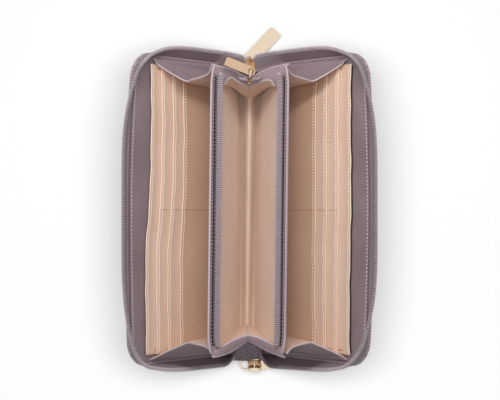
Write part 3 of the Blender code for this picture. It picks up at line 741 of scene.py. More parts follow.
def makeMainZip(side):
    name = sideNames[side]
    body = f"{name}_cover"
    stations = zipStations(side)
    feet, tops = [foot for foot, coil in stations], [coil for foot, coil in stations]
    band = ribbon(f"{name}ZipTape", feet, tops, zipper["thickness"], side * zipper["bulge"], 0.95)
    dress(band, tape, "zip_textile", body, stands=[f"{name}_zip_tape"])
    strip = []
    for foot, top in stations:
        nearEnd = min(1, max(0, (abs(foot.y) - zipper["stripFrom"]) / zipper["stripOver"]))
        strip.append(foot.lerp(top, zipper["stripMiddle"]
                               + (zipper["stripEnd"] - zipper["stripMiddle"]) * nearEnd))
    count, turn = len(feet), zipper["stripTurn"]
    # the strip's front and back ends use the lighter gusset leather: painted light where those faces
    # turn from the lamps
    for word, first, last, finish in (("Front", 0, turn, gussetLeather),
                                      ("", turn - 1, count - turn + 1, facingLeather),
                                      ("Back", count - turn, count, gussetLeather)):
        edging = ribbon(f"{name}ZipLeather{word}", feet[first:last], strip[first:last],
                        zipper["strip"], 0)
        dress(edging, finish, "taupe_leather", body)
    ups = [top - foot for foot, top in stations]
    makeCoil(f"{name}ZipCoil", tops, ups, zipper["coilWide"], zipper["coilHigh"], nylon,
             body=body, stands=[f"{name}_zip_coil"])
    # the core's dark colour is painted shade between the turns
    dress(wire(f"{name}ZipCore", tops, zipper["core"], 1), coilPaintedShade, "zip_textile", body)
    return stations


def makeTail(side, end, stations):
    # the loose end of a zip half, from the cover in to the middle
    name = f"{sideNames[side]}{endNames[end].title()}ZipEnd"
    (foot, top), before = (stations[0], stations[1]) if end == front else (stations[-1], stations[-2])
    line = smoothLine([top] + zipEnds[side, end], 5)
    feet = []
    for k in range(len(line)):
        share = k / (len(line) - 1)
        low = Vector((foot.x * (1 - share) + side * zipFeet["across"] * share,
                      end * (zipFeet["along"] - zipFeet["draw"] * share),
                      zipFeet["up"] + (foot.z - zipFeet["up"]) * (1 - share) ** 2))
        if end == front:           # the front ends lie flatter
            low.y -= zipFeet["frontDraw"] * math.sin(math.pi / 2 * share)
            low.z = foot.z * (1 - share) + zipFeet["frontUp"] * share
        feet.append(low)
    feet.insert(0, before[0])      # a little of it lies over the cover's own tape
    line.insert(0, before[1])
    bend = (f"{sideNames[side]}_cover", "spine", tuple(top * mm), tuple(line[-1] * mm))
    band = ribbon(name + "Tape", feet, line, zipper["thickness"], side * zipFeet["bulge"], 0.95)
    dress(band, tape, "zip_textile", bend=bend)
    strip = [foot.lerp(top, zipper["stripEnd"]) for foot, top in zip(feet, line)]
    edging = ribbon(name + "Leather", feet, strip, zipFeet["strip"], 0)
    # the lighter gusset leather here is painted light on a face turned from the lamps
    dress(edging, gussetLeather, "taupe_leather", bend=bend)
    ups = [top - foot for foot, top in zip(feet[1:], line[1:])]
    makeCoil(name + "Coil", line[1:], ups, zipper["coilWide"], zipper["coilHigh"], nylon,
             bend=bend, stands=[f"{sideNames[side]}_{endNames[end]}_zip_tail"])
    # the core's dark colour is painted shade between the turns
    core = wire(name + "Core", line[1:], zipper["core"], 1)
    dress(core, coilPaintedShade, "zip_textile", bend=bend)


print("main zip")
for side in (left, right):
    zipLine = makeMainZip(side)
    for end in (front, back):
        makeTail(side, end, zipLine)


# Spine

spine = {
    "width": 27.4, "length": 192, "thickness": 2.0, "rounding": 0.7,
    "fold": [(12.6, 0, 0.5), (13.8, 0, 0.6), (14.7, 0, 1.4), (15.7, 0, 2.6), (17.2, 0, 4.4)],
    "foldReach": 95.6, "foldThickness": 0.4, "foldRounding": 0.1,
    "bendFrom": (13.2, 0.4), "bendTo": (16.2, 3.2),
}


def makeSpine():
    panel = addShape(bpy.ops.mesh.primitive_cube_add, "spineLeather", size=1)
    for vertex in panel.data.vertices:
        vertex.co = Vector((vertex.co.x * spine["width"], vertex.co.y * spine["length"],
                            (vertex.co.z + 0.5) * spine["thickness"])) * mm
    for loop in panel.data.loops:
        place = panel.data.vertices[loop.vertex_index].co / mm
        panel.data.uv_layers.active.data[loop.index].uv = (place.y, place.x + place.z)
    applyModifier(panel, "BEVEL", width=spine["rounding"] * mm, segments=3)
    dress(panel, leather, "taupe_leather", "spine", stands=["spine_panel"])


def makeFold(side):
    # the leather that turns from the spine up into the cover
    profile = smoothLine(spine["fold"], 3)

    def spot(across, up):
        place = profile[round(up * (len(profile) - 1))]
        return Vector((side * place.x, (2 * across - 1) * spine["foldReach"], place.z))

    sheet = makeSheet(f"{sideNames[side]}SpineFold", 24, len(profile) - 1, spot, (side, 0, -1),
                      spine["foldThickness"], spine["foldRounding"])
    ends = [(side * x * mm, 0, z * mm) for x, z in (spine["bendFrom"], spine["bendTo"])]
    dress(sheet, leather, "taupe_leather", bend=("spine", f"{sideNames[side]}_cover", *ends))


print("spine")
makeSpine()
for side in (left, right):
    makeFold(side)


# Dividers, and the coin compartment between them

coin = {
    "liningFoot": 3, "liningHeight": 72, "liningLength": 166, "liningThickness": 0.6,
    "liningRounding": 0.2, "liningDepth": 0.3, "swell": 1.3, "waver": 0.35, "waverLength": 27,
    "front": 81, "back": -82, "stations": 48, "tapeThickness": 0.7, "tapeBulge": 0.3,
    "tapeFoot": 77.6, "tapeTop": 80.8, "footDepth": 1.0, "topDepth": {left: 5.1, right: 4.8},
    "coilWide": 1.75, "coilHigh": 0.75, "coilTilt": 0.15, "coreReach": 1.5, "endWide": 1.0,
    "stitchShare": 0.2, "stitchRise": 0.35, "stitchWay": (-0.6, 0.8),
    "floorReach": 82, "floorUp": 13, "floorSwing": 1.35, "frontLift": 9, "ridgeFront": 25,
    "ridgeBack": 8, "ridgeWideFront": 5.2, "ridgeWideBack": 3.6, "ridgeSink": 3, "ridgeSteep": 1.55,
    # the loose end goes under the leather band and up into the slider
    "end": [(17.3, 82.6, 77.2), (14.0, 83.0, 72.8), (10.0, 82.4, 72.4), (6.5, 80.6, 73.6),
            (4.7, 78.6, 79.0), (3.3, 78.5, 82.9), (2.0, 77.9, 84.3), (1.8, 77.6, 82.6)],
}


def makeDivider(side):
    name = sideNames[side]
    body = f"{name}_divider"
    inward = inwardOf(divider, side)
    half = divider["thickness"] / 2

    def leafPlace(across, up):
        rise, length = leafShare(divider, up)
        return dividerSpot(side, rise, (2 * across - 1) * length, -half)

    def liningSpot(across, up):
        along = (2 * across - 1) * coin["liningLength"] / 2
        rise = coin["liningFoot"] + (coin["liningHeight"] - coin["liningFoot"]) * up
        swell = coin["swell"] * math.sin(math.pi * up)
        swell += coin["waver"] * math.sin(along / coin["waverLength"] + side) * up
        return dividerSpot(side, rise, along, half + coin["liningDepth"] + swell)

    leaf = makeSheet(f"{name}Divider", *divider["cells"], leafPlace, inward, divider["thickness"],
                     divider["rounding"])
    dress(leaf, leather, "taupe_leather", body, stands=[f"{name}_divider"])
    edge = edgePath(divider, divider["hemInset"], divider["hemStart"], 3)
    hem = wire(f"{name}DividerHem", [dividerSpot(side, *place, 0) for place in edge], divider["hem"])
    # the hem's lighter colour is painted highlight
    dress(hem, leatherHemPaintedHighlight, "taupe_leather", body)
    rise, reach = divider["height"] - divider["stitchInset"], divider["stitchReach"]
    rows = [[dividerSpot(side, rise, reach - 2 * reach * i / 80, depth) for i in range(81)]
            for depth in (half, -half)]
    sew(f"{name}DividerStitches", "divider", rows, inward, leatherThread, "taupe_leather", body)
    # the coin lining's pale colour is painted light
    cloth = makeSheet(f"{name}CoinLining", 50, 24, liningSpot, inward, coin["liningThickness"],
                      coin["liningRounding"])
    dress(cloth, paintedLightCoinLining, "blush_lining", body, stands=[f"{name}_coin_lining"])


def makeCoinZip(side):
    name = sideNames[side]
    body = f"{name}_divider"
    # the feet of the tape on the divider, and the middle of the coil
    alongs = [coin["front"] + (coin["back"] - coin["front"]) * k / coin["stations"]
              for k in range(coin["stations"] + 1)]
    feet = [dividerSpot(side, coin["tapeFoot"], along, coin["footDepth"]) for along in alongs]
    tops = [dividerSpot(side, coin["tapeTop"], along, coin["topDepth"][side]) for along in alongs]
    # the coin tape is dark: painted shade in the gap between the divider and the coil
    band = ribbon(f"{name}CoinTape", feet, tops, coin["tapeThickness"], -side * coin["tapeBulge"],
                  0.95)
    dress(band, paintedShadeTape, "zip_textile", body, stands=[f"{name}_coin_zip_tape"])
    outward = Vector((side * coin["stitchWay"][0], 0, coin["stitchWay"][1]))
    sewn = [foot.lerp(top, coin["stitchShare"]) + outward * coin["stitchRise"]
            for foot, top in zip(feet, tops)]
    sew(f"{name}CoinTapeStitches", "coinTape", [sewn], outward, coinNylon, "zip_textile", body)
    up = Vector((-side, 0, coin["coilTilt"]))
    makeCoil(f"{name}CoinCoil", tops, [up] * len(tops), coin["coilWide"], coin["coilHigh"],
             coinNylon, body=body, stands=[f"{name}_coin_zip_coil"])
    core = ribbon(f"{name}CoinCore", [top - up * coin["coreReach"] for top in tops],
                  [top + up * coin["coreReach"] for top in tops], coin["tapeThickness"], 0)
    dress(core, tape, "zip_textile", body)
    line = smoothLine([tops[0]] + [(side * x, y, z) for x, y, z in coin["end"]], 5)
    makeCoil(f"{name}CoinEndCoil", line, [Vector((0, 0.5, 1))] * len(line), coin["endWide"],
             coin["coilHigh"], coinNylon,
             bend=(body, "spine", tuple(line[0] * mm), tuple(line[-1] * mm)),
             stands=[f"{name}_coin_zip_tail"])


def makeCoinFloor():
    # the lining at the bottom of the coin compartment, with a soft ridge along it
    def spot(across, up):
        along = (2 * up - 1) * coin["floorReach"]
        wide = coin["ridgeWideBack"] + (coin["ridgeWideFront"] - coin["ridgeWideBack"]) * up
        high = coin["ridgeBack"] + (coin["ridgeFront"] - coin["ridgeBack"]) * up
        swing = (2 * across - 1) * coin["floorSwing"]
        hump = math.exp(-(swing * coin["ridgeSteep"]) ** 2)
        x = swing * wide + divider["drift"] + divider["driftRise"] * along
        lift = coin["frontLift"] * up ** 5
        return Vector((x, along, coin["floorUp"] + lift + (high - lift - coin["ridgeSink"]) * hump))

    floor = makeSheet("coinFloor", 40, 48, spot, (0, 0, 1), coin["liningThickness"])
    # the floor's pale lining is painted light
    dress(floor, paintedLightCoinLining, "blush_lining", "spine", stands=["spine_lining"])


print("dividers and coin compartment")
for side in (left, right):
    makeDivider(side)
    makeCoinZip(side)
makeCoinFloor()


# Gussets: leather outside and lining inside, folded inward between the leaves

gusset = {
    "leather": 0.7, "leatherRounding": 0.2, "lining": 0.4, "liningRounding": 0.15, "hem": 0.48,
    "hemDepth": 0.15, "coverRise": 79, "coverPlace": 92.4, "coverFoot": 2.5, "coverDepth": 2.4,
    # the knee is where the gusset has come past the panels' ends, before it folds in
    "kneeDrop": 0.6, "kneeIn": 1, "kneeDepth": 4.8,
    "kneeFoot": 3.5, "kneeFootIn": 0.8, "kneeFootDepth": 7.4,
    "foldFoot": {front: (9.5, 74.6, 5.0), back: (9.5, 78.2, 5.0)}, "dividerFoot": (5.0, 86.0, 5.0),
    "bulge": 0.8, "foldPoint": {front: 4, back: 5}, "bendOuter": 32, "bendInner": 18.2,
    "edge": {
        front: [(56.1, 88.6, 65.8), (48.5, 83.7, 64.6), (39.4, 78.7, 65.2), (35.6, 79.2, 67.5),
                (26.6, 81.3, 75.0), (24.0, 83.4, 78.5), (22.6, 86.6, 81.0)],
        back: [(57.6, 90.4, 65.0), (49.7, 86.5, 64.3), (43.5, 83.8, 64.3), (37.7, 81.5, 65.3),
               (34.5, 81.9, 67.5), (26.4, 83.4, 75.0), (22.4, 86.8, 80.5)],
    },
}


def makeSideGusset(side, end):
    name = f"{sideNames[side]}{endNames[end].title()}"
    node = f"{sideNames[side]}_{endNames[end]}_gusset"
    flip = Vector((side, end, 1))
    reach, rise, depth = end * gusset["coverPlace"], gusset["coverRise"], gusset["coverDepth"]
    edge = [coverSpot(side, rise, reach, depth),
            coverSpot(side, rise - gusset["kneeDrop"], reach - end * gusset["kneeIn"],
                      gusset["kneeDepth"])]
    edge += [Vector(place) * flip for place in gusset["edge"][end]]
    kneeFoot = coverSpot(side, gusset["kneeFoot"], reach - end * gusset["kneeFootIn"],
                         gusset["kneeFootDepth"])
    foldFoot = Vector(gusset["foldFoot"][end]) * flip
    dividerFoot = Vector(gusset["dividerFoot"]) * flip
    fold = gusset["foldPoint"][end]
    feet = [coverSpot(side, gusset["coverFoot"], reach, depth)]
    for k in range(1, len(edge)):
        if k <= fold:
            feet.append(kneeFoot.lerp(foldFoot, (k - 1) / (fold - 1)))
        else:
            feet.append(foldFoot.lerp(dividerFoot, (k - fold) / (len(edge) - 1 - fold)))
    tops, lows = smoothLine(edge, 6), smoothLine(feet, 6)
    last = len(tops) - 1

    def spot(across, up):
        k = round(across * last)
        place = lows[k].lerp(tops[k], up)
        place.y += end * gusset["bulge"] * math.sin(math.pi * up) * math.sin(math.pi * across)
        return place

    angle = math.radians(divider["lean"])
    away = Vector((side * math.cos(angle), 0, -math.sin(angle)))
    hinge = Vector((side * divider["hingeAcross"], 0, divider["hingeUp"]))
    bend = (f"{sideNames[side]}_cover", "spine", tuple((hinge + away * gusset["bendOuter"]) * mm),
            tuple((hinge - away * gusset["bendInner"]) * mm))
    outward = Vector((0, end, 0))
    skin = makeSheet(f"{name}Gusset", last, 22, spot, outward, gusset["leather"],
                     gusset["leatherRounding"])
    dress(skin, gussetLeather, "taupe_leather", bend=bend, stands=[node])
    cloth = makeSheet(f"{name}GussetLining", last, 22, spot, -outward, gusset["lining"],
                      gusset["liningRounding"])
    dress(cloth, lining, "blush_lining", bend=bend, stands=[f"{node}_lining"])
    hem = wire(f"{name}GussetHem", [place + outward * gusset["hemDepth"] for place in tops],
               gusset["hem"])
    # the hem's lighter colour is painted highlight
    dress(hem, leatherHemPaintedHighlight, "taupe_leather", bend=bend)


# The coin compartment's ends: outer and inner edges from the divider to the middle
centre = {
    "band": 0.6, "bandRounding": 0.15, "bandRise": 0.7, "hemRise": 0.35, "footUp": 5.0,
    "outerFoot": 84.0, "footSpread": 4.6, "footDraw": 2.5, "middlePlace": 80, "bendAcross": 15,
    "bendUp": 70,
    (left, front): {
        "outer": [(-22.9, 87.4, 80.4), (-22.2, 87.3, 81.0), (-17.2, 86.2, 78.0),
                  (-11.5, 85.0, 74.0), (-6.8, 83.0, 71.5), (0.0, 79.3, 70.0)],
        "inner": [(-21.4, 77.4, 76.4), (-15.6, 75.8, 77.0), (-13.4, 78.8, 76.0),
                  (-10.7, 79.9, 75.0), (-6.8, 77.5, 73.0), (0.0, 75.0, 71.0)],
    },
    (right, front): {
        "outer": [(23.6, 87.6, 80.4), (23.2, 87.5, 81.0), (18.0, 86.8, 78.0), (13.2, 85.8, 75.0),
                  (6.4, 83.2, 71.5), (0.0, 79.3, 70.0)],
        "inner": [(20.5, 77.0, 76.4), (15.3, 75.0, 77.0), (13.4, 77.6, 76.5), (10.4, 78.5, 75.3),
                  (4.8, 76.9, 72.5), (0.0, 75.0, 71.0)],
    },
    (left, back): {
        "outer": [(-22.6, 88.6, 80.0), (-21.5, 88.8, 80.5), (-17.5, 88.2, 78.5),
                  (-11.8, 86.5, 74.0), (-6.0, 82.9, 71.8), (-0.9, 79.3, 71.2)],
        "inner": [(-23.0, 82.4, 77.4), (-18.6, 83.3, 79.0), (-14.0, 81.4, 77.3),
                  (-9.0, 79.0, 75.2), (-5.0, 77.5, 74.0), (-0.9, 76.5, 73.2)],
    },
    (right, back): {
        "outer": [(21.4, 89.2, 80.5), (17.0, 87.8, 78.0), (10.7, 85.6, 74.0), (5.0, 82.6, 71.8),
                  (-0.9, 79.3, 71.2)],
        "inner": [(18.8, 83.8, 79.5), (13.9, 81.5, 77.8), (7.5, 78.6, 75.2), (3.4, 77.2, 74.0),
                  (-0.9, 76.5, 73.2)],
    },
    "lowMiddle": {front: (70.0, 24.0), back: (74.0, 5.0)},
    "lowSide": {front: (14.2, 78.2, 57.0), back: (4.6, 76.5, 5.0)},
    "lining": {front: (0.038, 0.00062), back: (0.070, 0.001)},
}


def makeCentreGusset(side, end):
    # half of the coin compartment's end: a leather band over the top, leather
    # outside and lining inside
    name = f"centre{endNames[end].title()}{sideNames[side].title()}"
    flip = Vector((1, end, 1))
    outer, inner = (smoothLine([Vector(place) * flip for place in centre[side, end][edge]], 5)
                    for edge in ("outer", "inner"))
    last = len(outer) - 1
    middle = divider["drift"] + divider["driftRise"] * end * centre["middlePlace"]

    def wallSpot(across, up):
        k = round(across * last)
        share = 1 - k / last
        low = Vector((middle + side * centre["footSpread"] * share,
                      end * (centre["outerFoot"] + centre["footDraw"] * share), centre["footUp"]))
        return low.lerp(outer[k], up)

    def clothSpot(across, up):
        k = round(across * last)
        along, height = centre["lowMiddle"][end]
        x, y, z = centre["lowSide"][end]
        low = Vector((middle + side * x, end * y, z)).lerp(Vector((middle, end * along, height)),
                                                           k / last)
        return low.lerp(inner[k], up)

    def bandSpot(across, up):
        k = round(across * last)
        place = outer[k].lerp(inner[k], up)
        place.z += centre["bandRise"] * math.sin(math.pi * up)
        return place

    bend = (f"{sideNames[side]}_divider", "spine",
            (side * centre["bendAcross"] * mm, 0, centre["bendUp"] * mm),
            (0, 0, centre["bendUp"] * mm))
    outward = Vector((0, end, 0))
    node = f"centre_{endNames[end]}_gusset"
    wall = makeSheet(f"{name}Gusset", last, 20, wallSpot, outward, gusset["leather"],
                     gusset["leatherRounding"], even=False)
    dress(wall, gussetLeather, "taupe_leather", bend=bend, stands=[node])
    cloth = makeSheet(f"{name}Lining", last, 20, clothSpot, -outward, gusset["lining"],
                      gusset["liningRounding"], even=False)
    dress(cloth, lining, "blush_lining", bend=bend, stands=[f"{node}_lining"])
    band = makeSheet(f"{name}Band", last, 6, bandSpot, (0, 0, 1), centre["band"],
                     centre["bandRounding"], even=False)
    dress(band, gussetLeather, "taupe_leather", bend=bend)
    for word, line in (("Outer", outer), ("Inner", inner)):
        hem = wire(f"{name}{word}Hem", [place + Vector((0, 0, centre["hemRise"])) for place in line],
                   gusset["hem"])
        # the hem's lighter colour is painted highlight
        dress(hem, leatherHemPaintedHighlight, "taupe_leather", bend=bend)


print("gussets")
for end in (front, back):
    for side in (left, right):
        makeSideGusset(side, end)
        makeCentreGusset(side, end)


# The zip's closed end at the back, between the centre gusset and the slider

closedEnd = {
    "left": -8.6, "leftSpread": 1.6, "right": 5.4, "rightSpread": 3.8, "along": -81,
    "reach": 16.3, "up": 46, "drop": 31, "crown": 2.2, "thickness": 0.7, "rounding": 0.2,
}


def makeZipEnd():
    def spot(across, up):
        leftEdge = closedEnd["left"] - closedEnd["leftSpread"] * up ** 2
        rightEdge = closedEnd["right"] + closedEnd["rightSpread"] * up
        crown = closedEnd["crown"] * (2 * across - 1) ** 2
        return Vector((leftEdge + (rightEdge - leftEdge) * across,
                       closedEnd["along"] - closedEnd["reach"] * up,
                       closedEnd["up"] - closedEnd["drop"] * up ** 0.8 - crown))

    sheet = makeSheet("backZipEnd", 24, 16, spot, (0, 0, 1), closedEnd["thickness"],
                      closedEnd["rounding"])
    # the sheet's dark colour is painted shade on the closed chain
    dress(sheet, paintedShadeEndTape, "zip_textile", "spine")


makeZipEnd()


# Sliders and pulls

sliders = {
    "post": (1.4, 4.4), "postBack": 2.4, "postTaper": 0.6, "overlap": 0.2, "fill": (0.86, 0.45),
    "fillTaper": 0.1, "fillPlace": -0.25, "rail": (0.7, 1.5), "railShare": 0.62, "railInset": 0.75,
    "railPlace": -1.3, "taper": 0.25, "lowerPlate": 0.9, "recess": 0.7, "sink": 0.35,
    "bail": 0.55, "coinBail": 0.78, "rounding": 0.16,
    # the front and coin sliders and the back slider's fill use the gold with painted dark reflection
    "front": {"middle": (0.0, 93.0, 8.0), "size": (8.4, 10.5), "gap": 2.4, "plate": 0.9,
              "power": 2.0, "finish": paintedReflectionGold},
    "back": {"middle": (3.2, -99.6, 11.5), "size": (9.8, 10.5), "gap": 4.8, "plate": 2.6,
             "power": 2.6, "finish": gold},
    "coin": {"middle": (0.0, 77.6, 79.4), "size": (5.0, 7.6), "gap": 2.4, "plate": 0.8,
             "power": 2.6, "finish": paintedReflectionGold},
}
pulls = {
    "front": {"eye": (-0.9, 96.7, 4.5), "turn": 46.8, "length": 27, "width": 8.8,
              "thickness": 1.2, "hole": 2.7, "finish": gold},
    "back": {"eye": (-2.6, -100.9, 4.85), "turn": 3, "length": 27, "width": 8.0,
             "thickness": 1.2, "hole": 3.0, "finish": gold},
    "coin": {"eye": (0.9, 83.0, 86.1), "turn": 158, "length": 16.5, "width": 5.4,
             "thickness": 1.0, "hole": 1.8, "finish": roseGold},
    "rounding": 0.2, "squareness": 26,
}
bails = {
    "near": 1.9, "far": 5.3, "front": {"turn": -78, "foot": 6.4, "reach": 3.15},
    "back": {"turn": 80, "foot": 7.25, "reach": 3.5},
    "coin": [(0.0, 77.4, 83.0), (0.1, 78.6, 84.6), (0.3, 80.2, 86.4), (0.6, 81.8, 87.2),
             (0.9, 83.0, 86.9), (0.9, 83.3, 85.6), (0.6, 82.2, 83.6), (0.2, 80.2, 81.2),
             (0.0, 79.4, 78.5)],
}


def makeSlab(name, corners, outline, thickness):
    # a flat slab, whose outline is worked out from the points of a circle
    slab = addShape(bpy.ops.mesh.primitive_circle_add, name, vertices=corners, radius=1,
                    fill_type="NGON")
    for vertex in slab.data.vertices:
        vertex.co = Vector((*outline(vertex.co.x, vertex.co.y), -thickness / 2))
    applyModifier(slab, "SOLIDIFY", thickness=thickness, offset=1)
    if max(vertex.co.z for vertex in slab.data.vertices) < 0:
        for vertex in slab.data.vertices:
            vertex.co.z += thickness
    return slab


def faceOutward(piece):
    choose(piece)
    bpy.ops.object.mode_set(mode="EDIT")
    bpy.ops.mesh.select_all(action="SELECT")
    bpy.ops.mesh.normals_make_consistent(inside=False)
    bpy.ops.mesh.select_all(action="DESELECT")
    bpy.ops.object.mode_set(mode="OBJECT")


def makePlate(name, width, length, thickness, taper, recess=0, power=2.6):
    # a slider's plate: wide and round at the mouth, narrower at the tail
    def outline(x, y):
        size = (abs(x) ** power + abs(y) ** power) ** (1 / power)
        x, y = x / size, y / size
        narrow = 1 - taper * (1 - y) / 2
        return x * width / 2 * narrow, y * length / 2

    plate = makeSlab(name, 40, outline, thickness)
    faceOutward(plate)
    if recess:
        for polygon in plate.data.polygons:
            polygon.select = polygon.normal.z > 0.9
        bpy.ops.object.mode_set(mode="EDIT")
        bpy.ops.mesh.select_mode(type="FACE")
        bpy.ops.mesh.inset(thickness=recess)
        bpy.ops.transform.translate(value=(0, 0, -recess * sliders["sink"]))
        bpy.ops.object.mode_set(mode="OBJECT")
    applyModifier(plate, "BEVEL", width=sliders["rounding"], segments=2, limit_method="ANGLE",
                  angle_limit=math.radians(40))
    return plate


def makeSlider(key, run, face, bail):
    name, body = f"{key}Slider", f"{key}_slider"
    run, face = Vector(run), Vector(face)
    shape = sliders[key]
    gap, plate, finish = shape["gap"], shape["plate"], shape["finish"]
    width, length = shape["size"]

    def put(piece, *shift):
        # lays a piece whose length is y and whose face is z into the wallet
        for vertex in piece.data.vertices:
            co = vertex.co + Vector(shift)
            vertex.co = (Vector(shape["middle"]) + run.cross(face) * co.x + run * co.y
                         + face * co.z) * mm
        faceOutward(piece)
        return piece

    upper = put(makePlate(f"{name}Upper", width, length, plate, sliders["taper"],
                          sliders["recess"], shape["power"]), 0, 0, (gap + plate) / 2)
    thin = sliders["lowerPlate"]
    lower = put(makePlate(f"{name}Lower", width, length, thin, sliders["taper"]),
                0, 0, -(gap + thin) / 2)
    deep = gap + sliders["overlap"]
    post = put(makePlate(f"{name}Post", *sliders["post"], deep, sliders["postTaper"]),
               0, length / 2 - sliders["postBack"], 0)
    wide, high = sliders["rail"]
    rails = [put(makePlate(f"{name}Rail{way}", wide, length * sliders["railShare"], high, 0),
                 way * (width / 2 - sliders["railInset"]), sliders["railPlace"], high / 2 - gap / 2)
             for way in (-1, 1)]
    loop = wire(f"{name}Bail", bail, sliders["coinBail"] if key == "coin" else sliders["bail"], 3)
    if key == "back":              # the zip's closed end fills the slider's narrow end
        wide, long = width * sliders["fill"][0], length * sliders["fill"][1]
        fill = put(makePlate(f"{name}Fill", wide, long, deep, sliders["fillTaper"]),
                   0, length * sliders["fillPlace"], 0)
        dress(fill, paintedReflectionGold, "pale_gold", body)
    choose(lower, post, *rails)
    bpy.ops.object.join()
    lower.name = f"{name}Body"
    dress(lower, finish, "pale_gold", body, stands=[f"{key}_slider"])
    dress(upper, finish, "pale_gold", body)
    dress(loop, gold, "pale_gold", body)


def makePull(key):
    # a flat bar with a round eye
    shape = pulls[key]
    thickness, power, half = shape["thickness"], pulls["squareness"], shape["width"] / 2

    def outline(x, y):
        angle = math.atan2(y, x)
        across, out = math.sin(angle), math.cos(angle)
        if out < 0:
            return half * out, half * across
        size = (abs(across) ** power + abs(out) ** power) ** (1 / power)
        return shape["length"] * out / size, half * across / size

    pull = makeSlab(f"{key}PullBar", 96, outline, thickness)
    drill = addShape(bpy.ops.mesh.primitive_cylinder_add, "drill", vertices=32,
                     radius=shape["hole"], depth=thickness * 4)
    applyModifier(pull, "BOOLEAN", operation="DIFFERENCE", object=drill, solver="EXACT")
    bpy.data.objects.remove(drill)
    applyModifier(pull, "BEVEL", width=pulls["rounding"], segments=3, limit_method="ANGLE",
                  angle_limit=math.radians(40))
    angle = math.radians(shape["turn"])
    way = Vector((math.cos(angle), math.sin(angle), 0))
    across = Vector((-way.y, way.x, 0))
    for vertex in pull.data.vertices:
        co = vertex.co.copy()
        vertex.co = (Vector(shape["eye"]) + way * co.x + across * co.y + Vector((0, 0, co.z))) * mm
    dress(pull, shape["finish"], "pale_gold", f"{key}_pull", stands=[f"{key}_pull"], angle=30)


def bailLine(key):
    # the wire that holds a pull: down, across under its eye, and back up
    angle = math.radians(bails[key]["turn"])
    x, y = pulls[key]["eye"][:2]
    way = Vector((math.cos(angle), math.sin(angle), 0))
    first, second = (Vector((x, y, 0)) + way * bails[word] for word in ("near", "far"))
    foot, reach = bails[key]["foot"], bails[key]["reach"]
    heights = [Vector((0, 0, height)) for height in (foot, reach * 0.75 + foot * 0.25, reach)]
    return smoothLine([first + height for height in heights]
                      + [second + height for height in heights[::-1]], 4)


print("sliders and pulls")
for key, run, face in (("front", (0, 1, 0), (0, 0, 1)), ("back", (0, 0, 1), (0, -1, 0)),
                       ("coin", (0, 0, 1), (0, 1, 0))):
    makeSlider(key, run, face, smoothLine(bails[key], 4) if key == "coin" else bailLine(key))
    makePull(key)


# Floor, light and camera

studio = {
    "ambient": 0.42, "keyPower": 1.2, "keySize": (0.4, 0.05), "keyPlace": (-0.03, 0.20, 0.42),
    "fillPower": 2.3, "fillSize": (0.3, 0.3), "fillPlace": (-0.05, 0.06, 1.3),
    "shadowPower": 52, "shadowSize": (0.83, 0.46), "shadowPlace": (0.0, 0.045, 1.2),
    "floorUp": -0.0001, "floorRadius": 4, "floorShade": 0.2, "floorGlow": 0.255, "floorBounce": 0.2,
    "cameraHeight": 1.0, "fieldWidth": 328, "shiftAcross": 0.001, "shiftUp": 0.019,
}


def seenMask(tree):
    # 1 for rays that see the background itself: camera, glossy and transmission
    seen, glossy, through = (tree.add("ShaderNodeLightPath", None, None, k) for k in (0, 3, 6))
    return tree.add("ShaderNodeMath", {"operation": "MINIMUM"}, {0: seen + glossy + through, 1: 1.0})


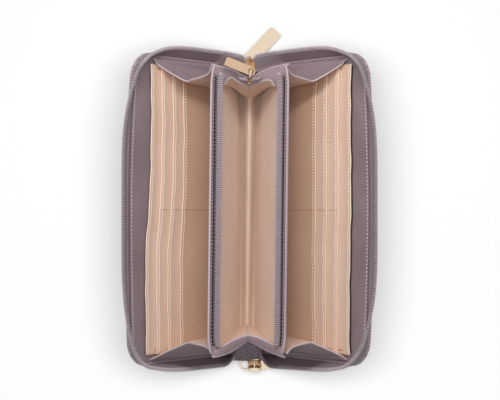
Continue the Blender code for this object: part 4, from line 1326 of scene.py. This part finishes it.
def makeFloor():
    floor = addShape(bpy.ops.mesh.primitive_circle_add, "studioFloor", vertices=64,
                     radius=studio["floorRadius"], fill_type="NGON",
                     location=(0, 0, studio["floorUp"]))
    material, tree = newMaterial("floorPaper")
    shade, bounce = (tree.add("ShaderNodeBsdfDiffuse", None, {"Color": (*[studio[word]] * 3, 1)})
                     for word in ("floorShade", "floorBounce"))
    glow = tree.add("ShaderNodeEmission", None, {"Strength": studio["floorGlow"]})
    seen = tree.add("ShaderNodeAddShader", None, {0: shade, 1: glow})
    mixed = tree.add("ShaderNodeMixShader", None, {0: seenMask(tree), 1: bounce, 2: seen})
    tree.add("ShaderNodeOutputMaterial", None, {0: mixed})
    floor.data.materials.append(material)
    return floor


def addLamp(word, target, pieces, state):
    # an area lamp that lights some pieces alone, or all but them
    place = studio[f"{word}Place"]
    lamp = addShape(bpy.ops.object.light_add, f"{word}Lamp", type="AREA", location=place)
    lamp.data.shape = "ELLIPSE"
    lamp.data.size, lamp.data.size_y = studio[f"{word}Size"]
    lamp.data.energy = studio[f"{word}Power"]
    lamp.rotation_euler = (Vector(target) - Vector(place)).to_track_quat("-Z", "Y").to_euler()
    lamp.visible_glossy = word == "key"
    group = bpy.data.collections.new(f"{word}LampPieces")
    for piece in pieces:
        group.objects.link(piece)
    lamp.light_linking.receiver_collection = group
    for member in group.collection_objects:
        member.light_linking.link_state = state


def makeStudio():
    floor = makeFloor()
    metals = [piece for piece in bpy.data.objects if piece.type == "MESH" and piece.data.materials
              and piece.data.materials[0] in (gold, roseGold, paintedReflectionGold)]
    addLamp("key", (0, 0, 0.04), [floor, *metals], "EXCLUDE")
    addLamp("fill", (0, 0, 0), [floor, *metals], "EXCLUDE")
    addLamp("shadow", (0, 0, 0), [floor], "INCLUDE")
    world = bpy.data.worlds.new("studioWorld")
    bpy.context.scene.world = world
    tree = Tree(world)
    strength = studio["ambient"] + seenMask(tree) * (1 - studio["ambient"])
    sky = tree.add("ShaderNodeBackground", None, {"Color": (1, 1, 1, 1), "Strength": strength})
    tree.add("ShaderNodeOutputWorld", None, {0: sky})


def makeCamera():
    camera = addShape(bpy.ops.object.camera_add, "Camera", rotation=(0, 0, 0),
                      location=(0, 0, studio["cameraHeight"]))
    camera.data.sensor_width = 36
    camera.data.lens = camera.data.sensor_width * studio["cameraHeight"] / (studio["fieldWidth"] * mm)
    camera.data.shift_x = studio["shiftAcross"]
    camera.data.shift_y = studio["shiftUp"]
    bpy.context.scene.camera = camera


print("studio")
makeStudio()
makeCamera()
bpy.context.scene.view_settings.view_transform = "Standard"
deselectAll()
